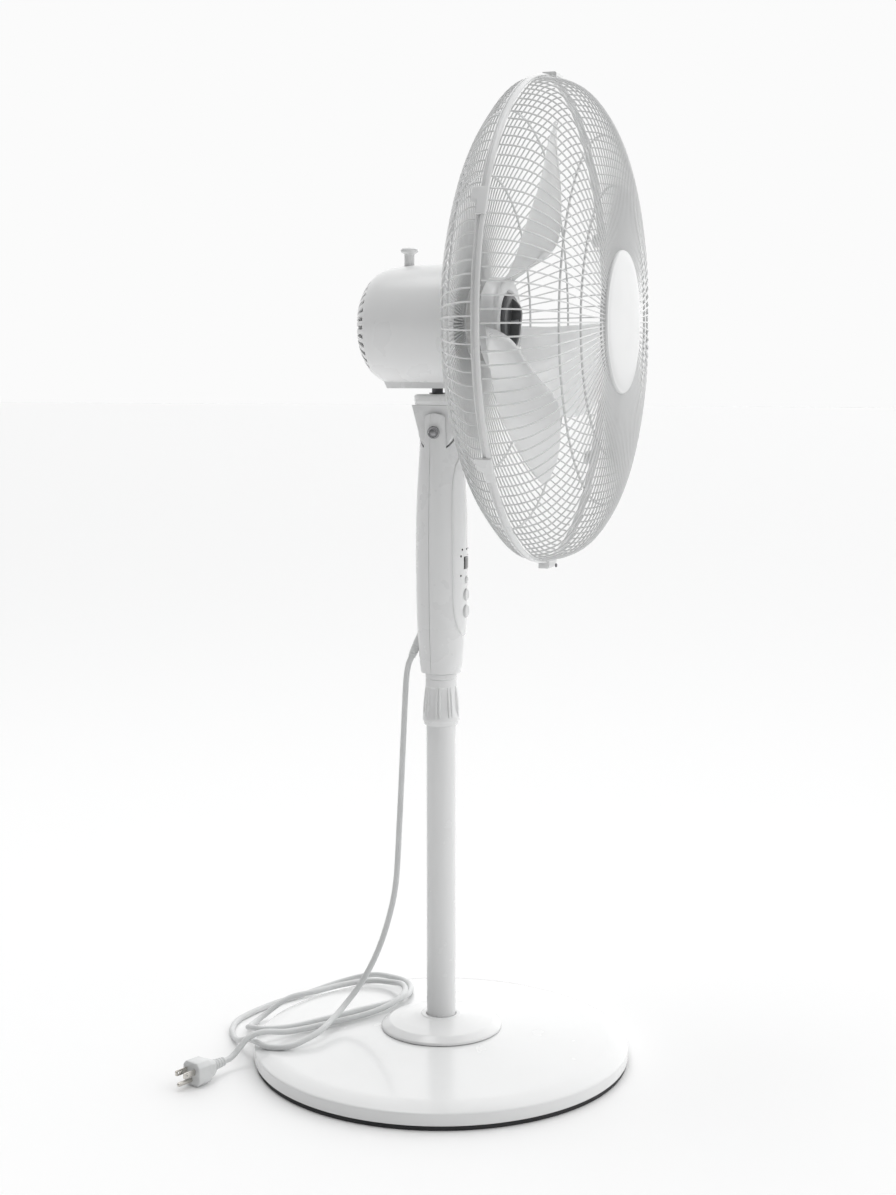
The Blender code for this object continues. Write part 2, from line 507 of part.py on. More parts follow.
# ---- head -------------------------------------------------------------------------------------
def make_motor():
    joint_empty("swing", (0, PIVOT_Y, CAP_HIGH), "tilt")
    joint_empty("knob_press", (0, KNOB_Y, 0.875), "swing")
    joint_empty("spin", (0, -0.060, FAN_Z), "swing")
    centre = (0, 0, FAN_Z - 0.0025)
    cover = ((0.006, -MOTOR_BACK), (0.018, -0.0845), (0.040, -0.0790), (0.052, -0.0710), (0.0600, -0.0585),
             (0.0630, -0.0440), (MOTOR_R, -0.0100), (MOTOR_R, MOTOR_FRONT))
    rear = finish("motor_cover", lattice(cover, MOTOR_WALL, 20, 0.5, lambda i, j: j == 1 and i % 2 == 1),
                  centre, "swing", WHITE, 0.25)
    for x, y, radius in ((0, PIVOT_Y, PIVOT_R + 0.0015), (CRANK_AT[0], CRANK_AT[1], 0.0038)):
        tool = turned(((0, 0.73), (radius, 0.73), (radius, 0.76), (0, 0.76)), COARSE)
        carve(rear, cutter(tool, (x, y, 0), "swing"))
    knob_hole = turned(((0, 0.85), (0.0065, 0.85), (0.0065, 0.90), (0, 0.90)), COARSE)
    carve(rear, cutter(knob_hole, (0, KNOB_Y, 0), "swing"))
    plate = ((0.0105, 0.0330), (0.0585, 0.0330), (0.0585, 0.0352), (0.0285, 0.0352),
             (0.0285, 0.0550), (0.0200, 0.0550), (0.0190, 0.0370), (0.0105, 0.0370))
    axis = (0, 0, FAN_Z)
    finish("front_plate", turned(plate, FINE, ahead=True), axis, "swing", WHITE, 0.3)
    internals = (
        ("stator_core", ring_profile(0.0216, 0.0420, -0.030, 0.000), COARSE, (0.35, 0.36, 0.38, 1), 0.5, 0.8),
        ("winding_front", ring_profile(0.0240, 0.0400, GAP, 0.0100), COARSE, COPPER, 0.35, 0.8),
        ("winding_rear", ring_profile(0.0240, 0.0400, -0.0400, -0.0303), COARSE, COPPER, 0.35, 0.8),
        ("end_bell_front", ((0.0102, 0.0115), (0.0450, 0.0115), (0.0450, 0.0135), (0.0140, 0.0135),
                            (0.0140, 0.0180), (0.0102, 0.0180)), COARSE, STEEL, 0.5, 0.8),
        ("end_bell_rear", ((0.0102, -0.0480), (0.0140, -0.0480), (0.0140, -0.0430), (0.0450, -0.0430),
                           (0.0450, -0.0410), (0.0102, -0.0410)), COARSE, STEEL, 0.5, 0.8),
        ("bearing_front", ring_profile(0.0040 + RUN, 0.0099, 0.0118, 0.0175), COARSE, BRONZE, 0.4, 0.8),
        ("bearing_rear", ring_profile(0.0040 + RUN, 0.0099, -0.0475, -0.0415), COARSE, BRONZE, 0.4, 0.8))
    for name, profile, sides, color, rough, metal in internals:
        finish(name, turned(profile, sides, ahead=True), axis, "swing", color, rough, metal)
    gearbox = finish("gearbox", block((-0.020, 0.0485, 0.788), (0.020, 0.0740, 0.832), 0.002),
                     (0, 0, 0), "swing", GREY, 0.5)
    shaft_room = turned(((0, -0.0640), (0.0050, -0.0640), (0.0050, -0.040), (0, -0.040)), SMALL, ahead=True)
    carve(gearbox, cutter(shaft_room, axis, "swing"))
    finish("run_capacitor", block((-0.0525, -0.018, 0.7770), (-0.0458, 0.018, 0.8000), 0.001),
           (0, 0, 0), "swing", (0.1, 0.1, 0.1, 1), 0.4)
    finish("swivel_block", block((-0.018, -0.0180, 0.7522), (0.018, 0.0300, 0.7612), 0.0015),
           (0, 0, 0), "swing", STEEL, 0.5, 0.7)
    pivot = ((0, 0.7020), (PIVOT_R, 0.7020), (PIVOT_R, CAP_HIGH + 0.0004), (0.0088, CAP_HIGH + 0.0004),
             (0.0088, CAP_HIGH + 0.0016), (PIVOT_R, CAP_HIGH + 0.0016), (PIVOT_R, 0.7519), (0, 0.7519))
    finish("pivot_shaft", turned(pivot, COARSE), (0, PIVOT_Y, 0), "swing", DARK, 0.35, 0.8)
    knob = ((0, 0.8575), (0.0056, 0.8575), (0.0056, 0.8810), (0.0090, 0.8822), (0.0095, 0.8845),
            (0.0080, 0.8870), (0.0040, 0.8880), (0, 0.8882))
    finish("swing_knob", turned(knob, SMALL), (0, KNOB_Y, 0), "knob_press", WHITE, 0.3)


def make_guards():
    axis = (0, 0, FAN_Z)

    def between(hoops):
        return lambda column, band: column % 2 == 1 and band not in hoops
    for name, profile, hoops in (("rear_guard", REAR_GUARD, REAR_HOOPS),
                                 ("front_guard", FRONT_GUARD, FRONT_HOOPS)):
        cage = lattice(profile, GUARD_WALL, GUARD_BARS, 0.2, between(hoops))
        finish(name, cage, axis, "swing", WHITE, 0.3)
    nut = ring_profile(0.0290, 0.0400, 0.0406, 0.0470)
    finish("guard_nut", turned(nut, COARSE, ahead=True), axis, "swing", (0.7, 0.7, 0.7, 1), 0.4)
    low, high = RING_AHEAD - 0.0055, RING_AHEAD + 0.0065
    ring = ((RING_R - 0.0060, RING_AHEAD - 0.0006), (RING_R - 0.0014, RING_AHEAD - 0.0006),
            (RING_R - 0.0014, low), (RING_R, low), (RING_R, high), (RING_R - 0.0014, high),
            (RING_R - 0.0014, RING_AHEAD + 0.0006), (RING_R - 0.0060, RING_AHEAD + 0.0006))
    hoop = finish("guard_ring", turned(ring, 60, ahead=True), axis, "swing", WHITE, 0.3)
    reach = high - low
    for angle, outer, stretch in ((155, 0.0018, 0.0006), (215, 0.0018, 0.0006), (25, 0.0018, 0.0006),
                                  (325, 0.0018, 0.0006), (270, 0.0060, 0.0030)):
        clip = clip_mesh(angle, 3.0, RING_R - 0.0010, RING_R + outer, low - 0.0006, low + reach + stretch)
        carve(hoop, cutter(clip, axis, "swing"), "UNION", "MANIFOLD")
    finish("ring_latch", clip_mesh(90, 3.0, RING_R + GAP, RING_R + 0.0030, low, high + 0.006), axis, "swing",
           WHITE, 0.3)
    screw = ((0, 0.0), (0.0020, 0.0), (0.0020, 0.0015), (0, 0.0015))
    finish("ring_screw", turned(screw, 16, ahead=True),
           (0, -(high + 0.003 + GAP), FAN_Z - RING_R - 0.0032), "swing", DARK, 0.4, 0.7)
    at = BADGE_AHEAD
    badge = ((0, at + 0.0020), (0.040, at + 0.0012), (BADGE_R - 0.002, at - 0.0005), (BADGE_R, at - 0.0022),
             (BADGE_R, at - 0.0050), (BADGE_R - 0.0020, at - 0.0050), (BADGE_R - 0.0030, at - 0.0026),
             (0, at - 0.0005))
    finish("badge", turned(badge, FINE, ahead=True), axis, "swing", WHITE, 0.25)


def clip_mesh(angle, spread, inner, outer, low, high):
    """A short curved clip over the ring, centred on an angle in degrees."""
    loops = []
    for k in range(7):
        turn = math.radians(angle + spread * (k / 3 - 1))
        u, v = math.cos(turn), math.sin(turn)
        corners = ((inner, low), (outer, low), (outer, high), (inner, high))
        loops.append([(r * u, -h, r * v) for r, h in corners])
    return lofted(loops)


# ---- rotor --------------------------------------------------------------------------------------
def blade_loop(station):
    """One blade's section at a radius: a thin cambered strip from its rear edge to its front edge."""
    radius, lead_turn, lead_ahead, trail_turn, trail_ahead = station
    top, low = [], []
    steps = 7
    for k in range(steps + 1):
        t = k / steps
        angle = math.radians(lead_turn + (trail_turn - lead_turn) * t)
        bow = BLADE_BOW * math.sin(math.pi * t) * (trail_ahead - lead_ahead)
        ahead = lead_ahead + (trail_ahead - lead_ahead) * t + bow
        point = Vector((radius * math.sin(angle), -ahead, radius * math.cos(angle)))
        top.append(point + Vector((0, -0.0010, 0)))
        low.append(point + Vector((0, 0.0010, 0)))
    return top + low[::-1]


def make_rotor():
    hub = ((0.0042, 0.0500), (0.0120, 0.0500), (0.0120, 0.0700), (HUB_R - 0.003, 0.0710),
           (HUB_R - 0.002, 0.0570), (HUB_R, 0.0570), (HUB_R, 0.0740), (HUB_R - 0.002, 0.0760),
           (0.0330, 0.0760), (0.0320, 0.0730), (0.0042, 0.0730))
    rotor = finish("fan_blade", turned(hub, FINE, ahead=True), (0, 0, FAN_Z), "spin", WHITE, 0.3)
    for k in range(BLADE_COUNT):
        blade = cutter(lofted([blade_loop(station) for station in BLADE_EDGES]), (0, 0, FAN_Z), "spin")
        blade.rotation_euler = (0, math.radians(360 / BLADE_COUNT) * k, 0)
        carve(rotor, blade, "UNION")
    shaft = ((0, -0.0625), (0.0040, -0.0625), (0.0040, 0.0870), (0, 0.0870))
    finish("motor_shaft", turned(shaft, COARSE, ahead=True), (0, 0, FAN_Z), "spin", STEEL, 0.3, 1.0)
    core = ring_profile(0.0040 + RUN, 0.0210, -0.030, 0.000)
    finish("rotor_core", turned(core, COARSE, ahead=True), (0, 0, FAN_Z), "spin", GREY, 0.4, 0.8)
    nut = ((0.0042, 0.0735), (0.0310, 0.0735), (0.0310, 0.0780), (0.0280, 0.0800), (0.0100, 0.0820),
           (0.0100, 0.0900), (0, 0.0900), (0, 0.0875), (0.0042, 0.0875))
    finish("blade_nut", turned(nut, COARSE, ahead=True), (0, 0, FAN_Z), "spin", (0.12, 0.12, 0.13, 1), 0.4)


# ---- cord and plug --------------------------------------------------------------------------------
def smooth_route(points, count):
    """Even points along a Catmull-Rom curve through the route, between its two straight ends."""
    dense = []
    for a, b, c, d in zip(points, points[1:], points[2:], points[3:]):
        for k in range(24):
            t = k / 24
            dense.append(0.5 * (2 * b + (c - a) * t + (2 * a - 5 * b + 4 * c - d) * t ** 2
                                + (3 * b - a - 3 * c + d) * t ** 3))
    dense.append(points[-2])
    lengths = [0.0]
    for one, two in zip(dense, dense[1:]):
        lengths.append(lengths[-1] + (two - one).length)
    even, k = [points[0]], 0
    for i in range(count):
        goal = lengths[-1] * i / (count - 1)
        while k < len(dense) - 2 and lengths[k + 1] < goal:
            k += 1
        share = (goal - lengths[k]) / (lengths[k + 1] - lengths[k])
        even.append(dense[k].lerp(dense[k + 1], min(share, 1.0)))
    return even + [points[-1]]


def make_cord():
    curve = bpy.data.curves.new("power_cord", "CURVE")
    curve.dimensions = "3D"
    curve.bevel_depth = CORD_R
    curve.bevel_resolution = 2
    curve.use_fill_caps = True
    route = smooth_route([Vector(point) for point in CORD_ROUTE], CORD_POINTS)
    spline = curve.splines.new("POLY")
    spline.points.add(len(route) - 1)
    for point, place in zip(spline.points, route):
        point.co = (*place, 1.0)
    material = bpy.data.materials.new("power_cord")
    material.use_nodes = True
    material.node_tree.nodes["Principled BSDF"].inputs["Base Color"].default_value = WHITE
    curve.materials.append(material)
    cord = bpy.data.objects.new("power_cord", curve)
    bpy.context.collection.objects.link(cord)


def along_plug(mesh, name, color, rough, metal=0.0, side=0.0, lift=0.0, smooth=True):
    """Place a piece modelled ahead of its origin so that it points along the plug."""
    item = finish(name, mesh, (0, 0, 0), None, color, rough, metal, smooth)
    turn = math.atan2(PLUG_TO.x, -PLUG_TO.y)
    item.rotation_euler = (0, 0, turn)
    across = Vector((math.cos(turn), math.sin(turn), 0))
    item.location = PLUG_AT + across * side + Vector((0, 0, lift))


def make_plug():
    start = 0.0003
    boot = [(0, start), (0.0042, start)]
    for k in range(4):
        low = start + 0.004 * k
        boot += [(0.0048 + 0.0004 * k, low + 0.0010), (0.0048 + 0.0004 * k, low + 0.0026),
                 (0.0040 + 0.0004 * k, low + 0.0030)]
    boot += [(0.0052, 0.0170), (0, 0.0170)]
    along_plug(turned(boot, SMALL, ahead=True), "plug_boot", WHITE, 0.4)
    loops = []
    for place, wide, tall in ((0.0173, 0.0070, 0.0070), (0.0230, 0.0105, 0.0090), (0.0290, 0.0110, 0.0100),
                              (0.0300, 0.0128, 0.0125), (0.0470, 0.0130, 0.0128), (0.0480, 0.0120, 0.0118)):
        cut = 0.35
        loops.append([(wide * u, -place, tall * v) for u, v in (
            (1, -1 + cut), (1, 1 - cut), (1 - cut, 1), (-1 + cut, 1), (-1, 1 - cut), (-1, -1 + cut),
            (-1 + cut, -1), (1 - cut, -1))])
    along_plug(lofted(loops), "plug_body", WHITE, 0.35, smooth=False)
    for name, side in (("plug_blade_left", -0.0063), ("plug_blade_right", 0.0063)):
        along_plug(block((-0.0008, -0.0645, -0.0032), (0.0008, -0.0483, 0.0032), 0.0002), name,
                   STEEL, 0.25, 1.0, side, 0.0035)
    pin = ((0, 0.0483), (0.0024, 0.0483), (0.0024, 0.0655), (0.0014, 0.0675), (0, 0.0675))
    along_plug(turned(pin, 16, ahead=True), "plug_earth_pin", STEEL, 0.25, 1.0, 0.0, -0.0065)


def main():
    clear_scene()
    make_base()
    make_collar()
    make_column()
    make_neck()
    make_motor()
    make_swing_drive()
    make_guards()
    make_rotor()
    make_cord()
    make_plug()


main()
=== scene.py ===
# %% [markdown]
# # A white pedestal fan, dressed around its working frame
# The frame holds the plain solids that move and collide. This lesson gives each of them the surface that
# the eye expects: fine wires instead of wide bars, moulded shells with soft edges, and finishes made of
# nodes. We load the frame first, and keep its box, because nothing we make may grow past it.

# %% Load the frame
import math

import bmesh
import bpy
from mathutils import Matrix, Vector


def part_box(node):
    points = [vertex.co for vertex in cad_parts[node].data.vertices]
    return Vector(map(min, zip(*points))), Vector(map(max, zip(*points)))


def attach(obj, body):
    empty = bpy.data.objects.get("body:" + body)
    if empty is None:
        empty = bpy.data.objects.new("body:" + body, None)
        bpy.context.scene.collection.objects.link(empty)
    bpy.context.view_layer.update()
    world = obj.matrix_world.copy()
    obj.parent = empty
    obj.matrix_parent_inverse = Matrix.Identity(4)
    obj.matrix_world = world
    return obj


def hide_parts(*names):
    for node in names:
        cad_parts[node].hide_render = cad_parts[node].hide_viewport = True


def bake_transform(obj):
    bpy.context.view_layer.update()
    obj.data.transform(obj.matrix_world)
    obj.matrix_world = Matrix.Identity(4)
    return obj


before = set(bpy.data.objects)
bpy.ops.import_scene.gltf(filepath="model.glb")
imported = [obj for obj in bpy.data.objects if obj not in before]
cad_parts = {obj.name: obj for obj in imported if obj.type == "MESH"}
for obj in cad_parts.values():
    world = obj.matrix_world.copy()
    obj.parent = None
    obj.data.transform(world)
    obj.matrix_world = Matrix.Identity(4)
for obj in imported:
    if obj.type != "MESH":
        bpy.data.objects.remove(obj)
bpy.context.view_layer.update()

# %% [markdown]
# ## Camera
# The fan is seen almost from its side, a little from the front, and from about fan height, so the camera
# looks down by a few degrees. A long lens at two metres keeps the pole straight and the base's ellipse
# flat.

# %% Place the camera
VIEW_TURN = math.radians(-71.21)          # round the pole, where 0 looks along +Y
CAMERA_AT = Vector((-1.852, -0.638, 0.755))
CAMERA_DOWN = math.radians(7.0)
LENS_MM = 55.0


def place_camera():
    camera = bpy.data.objects.new("camera", bpy.data.cameras.new("camera"))
    camera.data.lens = LENS_MM
    camera.location = CAMERA_AT
    camera.rotation_euler = (math.pi / 2 - CAMERA_DOWN, 0, VIEW_TURN)
    bpy.context.collection.objects.link(camera)
    bpy.context.scene.camera = camera
    return camera


camera = place_camera()
print("camera at", tuple(camera.location), "lens", camera.data.lens)

# %% [markdown]
# ## Finishes as small node graphs
# A finish is one material. Python operators read far better than a list of Math nodes, so a small class
# wraps a socket and turns `1 - mask` into the nodes that compute it. One method adds every other kind of
# node.

# %% A socket that can stand in a sum
class Signal:
    """An output socket that Python's operators can combine with numbers and other signals."""

    def __init__(self, finish, socket):
        self.finish = finish
        self.socket = socket

    def maths(self, operation, first, second, clamp=False):
        settings = {"operation": operation, "use_clamp": clamp}
        return self.finish.add("ShaderNodeMath", settings, {0: first, 1: second})["Value"]

    def __add__(self, other):
        return self.maths("ADD", self, other)

    def __sub__(self, other):
        return self.maths("SUBTRACT", self, other)

    def __rsub__(self, other):
        return self.maths("SUBTRACT", other, self)

    def __mul__(self, other):
        return self.maths("MULTIPLY", self, other)

    def clamped(self):
        return self.maths("ADD", self, 0.0, True)

    __radd__ = __add__
    __rmul__ = __mul__


# %% A material with one method for its nodes
class Finish:
    """A material, its Principled shader, and the nodes that feed it."""

    def __init__(self, name, colour, roughness, **fixed):
        self.material = bpy.data.materials.new(name)
        self.material.use_nodes = True
        self.tree = self.material.node_tree
        self.shader = self.tree.nodes["Principled BSDF"]
        self.colour = (*colour, 1.0)
        self.roughness = roughness
        self.shader.inputs["Base Color"].default_value = self.colour
        self.shader.inputs["Roughness"].default_value = roughness
        for key, value in fixed.items():
            self.shader.inputs[key.replace("_", " ")].default_value = value
        self.place = self.add("ShaderNodeTexCoord", {}, {})["Object"]

    def add(self, kind, settings, inputs):
        node = self.tree.nodes.new(kind)
        for key, value in settings.items():
            if key == "stops":
                for stop, (position, shade) in zip(node.color_ramp.elements, value):
                    stop.position = position
                    stop.color = (shade, shade, shade, 1.0)
            else:
                setattr(node, key, value)
        for key, value in inputs.items():
            if isinstance(value, Signal):
                self.tree.links.new(value.socket, node.inputs[key])
            else:
                node.inputs[key].default_value = value
        outputs = {index: Signal(self, socket) for index, socket in enumerate(node.outputs)}
        outputs.update({socket.name: outputs[index] for index, socket in enumerate(node.outputs)})
        return outputs

    def feed(self, socket, signal):
        self.tree.links.new(signal.socket, self.shader.inputs[socket])

    def noise(self, scale, detail=2.0, place=None):
        values = {"Vector": place or self.place, "Scale": scale, "Detail": detail}
        return self.add("ShaderNodeTexNoise", {}, values)["Fac"]

    def mask(self, signal, low, high):
        stops = ((low, 0.0), (high, 1.0))
        return self.add("ShaderNodeValToRGB", {"stops": stops}, {"Fac": signal})["Color"]

    def blend(self, factor, first, second):
        values = {0: factor, 6: first, 7: second}
        return self.add("ShaderNodeMix", {"data_type": "RGBA"}, values)[2]

    def stretched(self, x, y, z):
        values = {0: self.place, 1: (x, y, z)}
        return self.add("ShaderNodeVectorMath", {"operation": "MULTIPLY"}, values)["Vector"]

    def bump(self, height, strength, distance):
        values = {"Height": height, "Strength": strength, "Distance": distance}
        self.feed("Normal", self.add("ShaderNodeBump", {}, values)["Normal"])

    def shade(self, amount):
        """This finish's own colour, darker by that share."""
        return tuple(part * (1 - amount) for part in self.colour[:3]) + (1.0,)


print("finishes: a Signal for sums, a Finish for materials")

# %% [markdown]
# ## White parts
# Almost everything here is white, so the whites have to differ. Injection moulded ABS has a soft gloss,
# faint flow shading and an eggshell micro-texture. Powder coat on steel is harder, glossier and pimpled
# like orange peel. Household dust dulls both a little, more on what faces up, which the normal's Z tells
# us.

# %% Moulded and coated whites
WHITE = (0.83, 0.835, 0.835)


def moulded(name, colour=WHITE, roughness=0.30, grain=1400.0, relief=0.00002, dust=0.05, coat=0.15):
    finish = Finish(name, colour, roughness, Coat_Weight=coat, Coat_Roughness=0.12, IOR=1.48)
    flow = finish.noise(9.0, 3.0)
    smudge = finish.mask(finish.noise(26.0, 4.0), 0.42, 0.72)
    facing = finish.add("ShaderNodeNewGeometry", {}, {})["Normal"]
    up = finish.add("ShaderNodeSeparateXYZ", {}, {"Vector": facing})["Z"].clamped()
    dusty = (up * smudge * dust + flow * 0.03).clamped()
    finish.feed("Base Color", finish.blend(dusty, finish.colour, finish.shade(0.35)))
    finish.feed("Roughness", smudge * 0.07 + up * dust + (roughness - 0.03))
    finish.bump(finish.noise(grain, 2.0), 0.25, relief)
    return finish.material


def coated(name, colour=WHITE, roughness=0.28, peel=520.0, relief=0.00006):
    finish = Finish(name, colour, roughness, Coat_Weight=0.3, Coat_Roughness=0.1)
    worn = finish.mask(finish.noise(60.0, 5.0), 0.60, 0.80)
    finish.feed("Base Color", finish.blend(worn * 0.35, finish.colour, finish.shade(0.12)))
    finish.feed("Roughness", worn * 0.12 + roughness)
    finish.bump(finish.noise(peel, 3.0), 0.3, relief)
    return finish.material


gloss_white = moulded("gloss_white", roughness=0.20, grain=900.0, relief=0.000008, dust=0.04, coat=0.5)
shell_white = moulded("shell_white")
panel_white = moulded("panel_white", (0.85, 0.855, 0.855), 0.22, coat=0.35)
key_white = moulded("key_white", (0.74, 0.745, 0.745), 0.34)
ring_white = moulded("ring_white", (0.74, 0.745, 0.745), 0.30)
badge_white = moulded("badge_white", (0.70, 0.705, 0.705), 0.32, relief=0.000012, dust=0.0)
wire_white = coated("wire_white", (0.66, 0.665, 0.665))
tube_white = coated("tube_white", (0.82, 0.825, 0.825), 0.24, 420.0, 0.00003)
print("whites:", 8)

# %% [markdown]
# ## Blade plastic
# Fan blades are thin and slightly milky: some light comes through, so what is behind them shows as a grey
# veil. Weak, rough transmission does this at a small cost, and no second sheet is needed because the blade
# is a solid.

# %% Milky blade plastic
def milky(name, colour, roughness, clear):
    finish = Finish(name, colour, roughness, Transmission_Weight=clear, IOR=1.30, Coat_Weight=0.25)
    flow = finish.noise(14.0, 3.0)
    finish.feed("Base Color", finish.blend(flow * 0.12, finish.colour, finish.shade(0.25)))
    finish.feed("Roughness", flow * 0.08 + roughness)
    finish.bump(finish.noise(700.0, 1.0), 0.15, 0.00001)
    return finish.material


blade_white = milky("blade_white", (0.94, 0.945, 0.945), 0.26, 0.55)
print("blade plastic ready")

# %% [markdown]
# ## Metals, rubber and the dark pieces
# Turned steel has fine rings, drawn tube has streaks along its length, and pressed sheet is only blotchy.
# One function covers them by stretching the noise's space. Rubber and dark plastic are matt with a fine
# tooth.

# %% Metals
def metal(name, colour, roughness, stretch=(1.0, 1.0, 1.0), scale=160.0, relief=0.00002, **fixed):
    finish = Finish(name, colour, roughness, Metallic=1.0, **fixed)
    streak = finish.noise(scale, 4.0, finish.stretched(*stretch))
    stain = finish.mask(finish.noise(35.0, 4.0), 0.50, 0.80)
    finish.feed("Base Color", finish.blend(stain * 0.5, finish.colour, finish.shade(0.30)))
    finish.feed("Roughness", streak * 0.16 + stain * 0.10 + (roughness - 0.06))
    finish.bump(streak, 0.3, relief)
    return finish.material


def matt(name, colour, roughness, tooth=900.0, relief=0.00004, tint=0.25, **fixed):
    finish = Finish(name, colour, roughness, **fixed)
    cloud = finish.mask(finish.noise(45.0, 4.0), 0.35, 0.75)
    finish.feed("Base Color", finish.blend(cloud * 0.6, finish.colour, finish.shade(tint)))
    finish.feed("Roughness", cloud * 0.12 + (roughness - 0.05))
    finish.bump(finish.noise(tooth, 2.0), 0.35, relief)
    return finish.material


bare_steel = metal("bare_steel", (0.62, 0.62, 0.64), 0.36)
bright_tube = metal("bright_tube", (0.78, 0.78, 0.80), 0.12, (1.0, 1.0, 0.05), 300.0, 0.000006)
dark_steel = metal("dark_steel", (0.16, 0.16, 0.17), 0.38)
bolt_grey = metal("bolt_grey", (0.40, 0.40, 0.41), 0.36, (1.0, 0.2, 0.2), 500.0)
cast_grey = metal("cast_grey", (0.45, 0.46, 0.46), 0.48, relief=0.00008)
bronze = metal("bronze", (0.72, 0.56, 0.30), 0.34)
copper = metal("copper", (0.72, 0.34, 0.16), 0.30, (1.0, 6.0, 1.0), 240.0, 0.0001)
core_steel = metal("core_steel", (0.35, 0.36, 0.38), 0.46, (0.1, 12.0, 0.1), 200.0, 0.0001)
pin_metal = metal("pin_metal", (0.66, 0.64, 0.60), 0.24, (0.3, 1.0, 1.0), 400.0, 0.00001)
foot_rubber = matt("foot_rubber", (0.022, 0.022, 0.024), 0.72)
filler = matt("filler", (0.25, 0.25, 0.26), 0.80, 300.0, 0.0003)
nylon = matt("nylon", (0.70, 0.70, 0.69), 0.45)
dark_plastic = matt("dark_plastic", (0.085, 0.087, 0.090), 0.36, tint=0.15)
lens_grey = matt("lens_grey", (0.20, 0.20, 0.205), 0.16, relief=0.000004, Coat_Weight=0.6)
window_black = matt("window_black", (0.008, 0.008, 0.010), 0.12, relief=0.000002, Coat_Weight=0.8)
board_green = matt("board_green", (0.05, 0.22, 0.10), 0.42)
cord_sheath = matt("cord_sheath", (0.72, 0.73, 0.73), 0.42, 700.0, 0.00003, 0.12)
plug_white = matt("plug_white", (0.70, 0.71, 0.71), 0.40, 800.0, 0.00003, 0.10)
print("materials:", len(bpy.data.materials))

# %% [markdown]
# ## Shapes as plain lists
# A shape here is a list of corners and a list of faces. Lists are easy to copy, turn and join, which suits
# an object with hundreds of wires. Only the last step makes a Blender mesh, closes its normals and shades
# it smooth.

# %% Turn, sweep and join
def revolve(outline, sides=128, along="up"):
    """Turn a closed (radius, height) outline round the pole axis, the fan axis or the tilt axis."""
    corners, rings, faces = [], [], []
    for radius, height in outline:
        ring = []
        for k in range(sides if radius > 1e-7 else 1):
            angle = 2 * math.pi * k / sides
            u, v = radius * math.cos(angle), radius * math.sin(angle)
            place = {"up": (u, v, height), "ahead": (u, -height, v), "across": (height, u, v)}[along]
            ring.append(len(corners))
            corners.append(Vector(place))
        rings.append(ring)
    for one, two in zip(rings, rings[1:] + rings[:1]):
        if len(one) == 1 and len(two) == 1:
            continue
        for k in range(sides):
            n = (k + 1) % sides
            loop = (one[k % len(one)], one[n % len(one)], two[n % len(two)], two[k % len(two)])
            faces.append(tuple(dict.fromkeys(loop)))
    return corners, faces


def loft(loops, ring=False):
    """Skin loops of equal length, and cap both ends unless the skin closes on itself."""
    corners = [Vector(point) for loop in loops for point in loop]
    size, faces = len(loops[0]), []
    for j in range(len(loops) if ring else len(loops) - 1):
        below, above = j * size, (j + 1) % len(loops) * size
        for k in range(size):
            n = (k + 1) % size
            faces.append((below + k, below + n, above + n, above + k))
    if not ring:
        faces.append(tuple(range(size)))
        faces.append(tuple(range((len(loops) - 1) * size, len(loops) * size)))
    return corners, faces


def sweep(path, radius, sides=8, ring=False):
    """A round wire along a path. Its frame is carried along, so the tube never twists."""
    loops, side = [], None
    for k, point in enumerate(path):
        before = path[k - 1] if ring or k else point
        after = path[(k + 1) % len(path)] if ring or k < len(path) - 1 else point
        ahead = (after - before).normalized()
        if side is None:
            side = ahead.orthogonal().normalized()
        side = (side - ahead * side.dot(ahead)).normalized()
        other = ahead.cross(side)
        wide = radius(k / (len(path) - 1)) if callable(radius) else radius
        turns = [2 * math.pi * i / sides for i in range(sides)]
        loops.append([point + (side * math.cos(a) + other * math.sin(a)) * wide for a in turns])
    return loft(loops, ring)


def moved(shape, matrix):
    return [matrix @ corner for corner in shape[0]], shape[1]


def placed(shape, x, y, z):
    return moved(shape, Matrix.Translation((x, y, z)))


def rod(radius, low, high, sides=48, along="up"):
    """A plain round bar, used as a drill."""
    return revolve(((0, low), (radius, low), (radius, high), (0, high)), sides, along)


def joined(shapes):
    corners, faces = [], []
    for some_corners, some_faces in shapes:
        start = len(corners)
        corners += some_corners
        faces += [tuple(start + k for k in face) for face in some_faces]
    return corners, faces


print("shape helpers: revolve, loft, sweep, moved, placed, rod, joined")

# %% [markdown]
# ## Soft corners
# Nothing moulded has a knife edge, and a tiny round along each edge is what catches the light. For turned
# pieces the outline's corners are rounded before turning. Other shapes go through Blender's Bevel and
# Boolean modifiers.

# %% Round an outline, cut and bevel a shape
def softened(outline, radius, steps=3, closed=True):
    """The outline with each corner replaced by a short curve that starts at that distance from it."""
    points = [Vector(point) for point in outline]
    result = []
    for k, corner in enumerate(points):
        if not closed and k in (0, len(points) - 1) or corner.x < 1e-7:
            result.append(tuple(corner))
            continue
        before = points[k - 1] - corner
        after = points[(k + 1) % len(points)] - corner
        first = corner + before.normalized() * min(radius, before.length * 0.4)
        last = corner + after.normalized() * min(radius, after.length * 0.4)
        for i in range(steps + 1):
            t = i / steps
            result.append(tuple(first * (1 - t) ** 2 + corner * 2 * t * (1 - t) + last * t ** 2))
    return result


def smooth_line(points, steps):
    """A Catmull-Rom curve through the points, with its ends doubled."""
    points = [Vector(point) for point in points]
    padded = [points[0] * 2 - points[1]] + points + [points[-1] * 2 - points[-2]]
    line = []
    for a, b, c, d in zip(padded, padded[1:], padded[2:], padded[3:]):
        for k in range(steps):
            t = k / steps
            line.append(0.5 * (2 * b + (c - a) * t + (2 * a - 5 * b + 4 * c - d) * t ** 2
                               + (3 * b - a - 3 * c + d) * t ** 3))
    return line + [points[-1]]


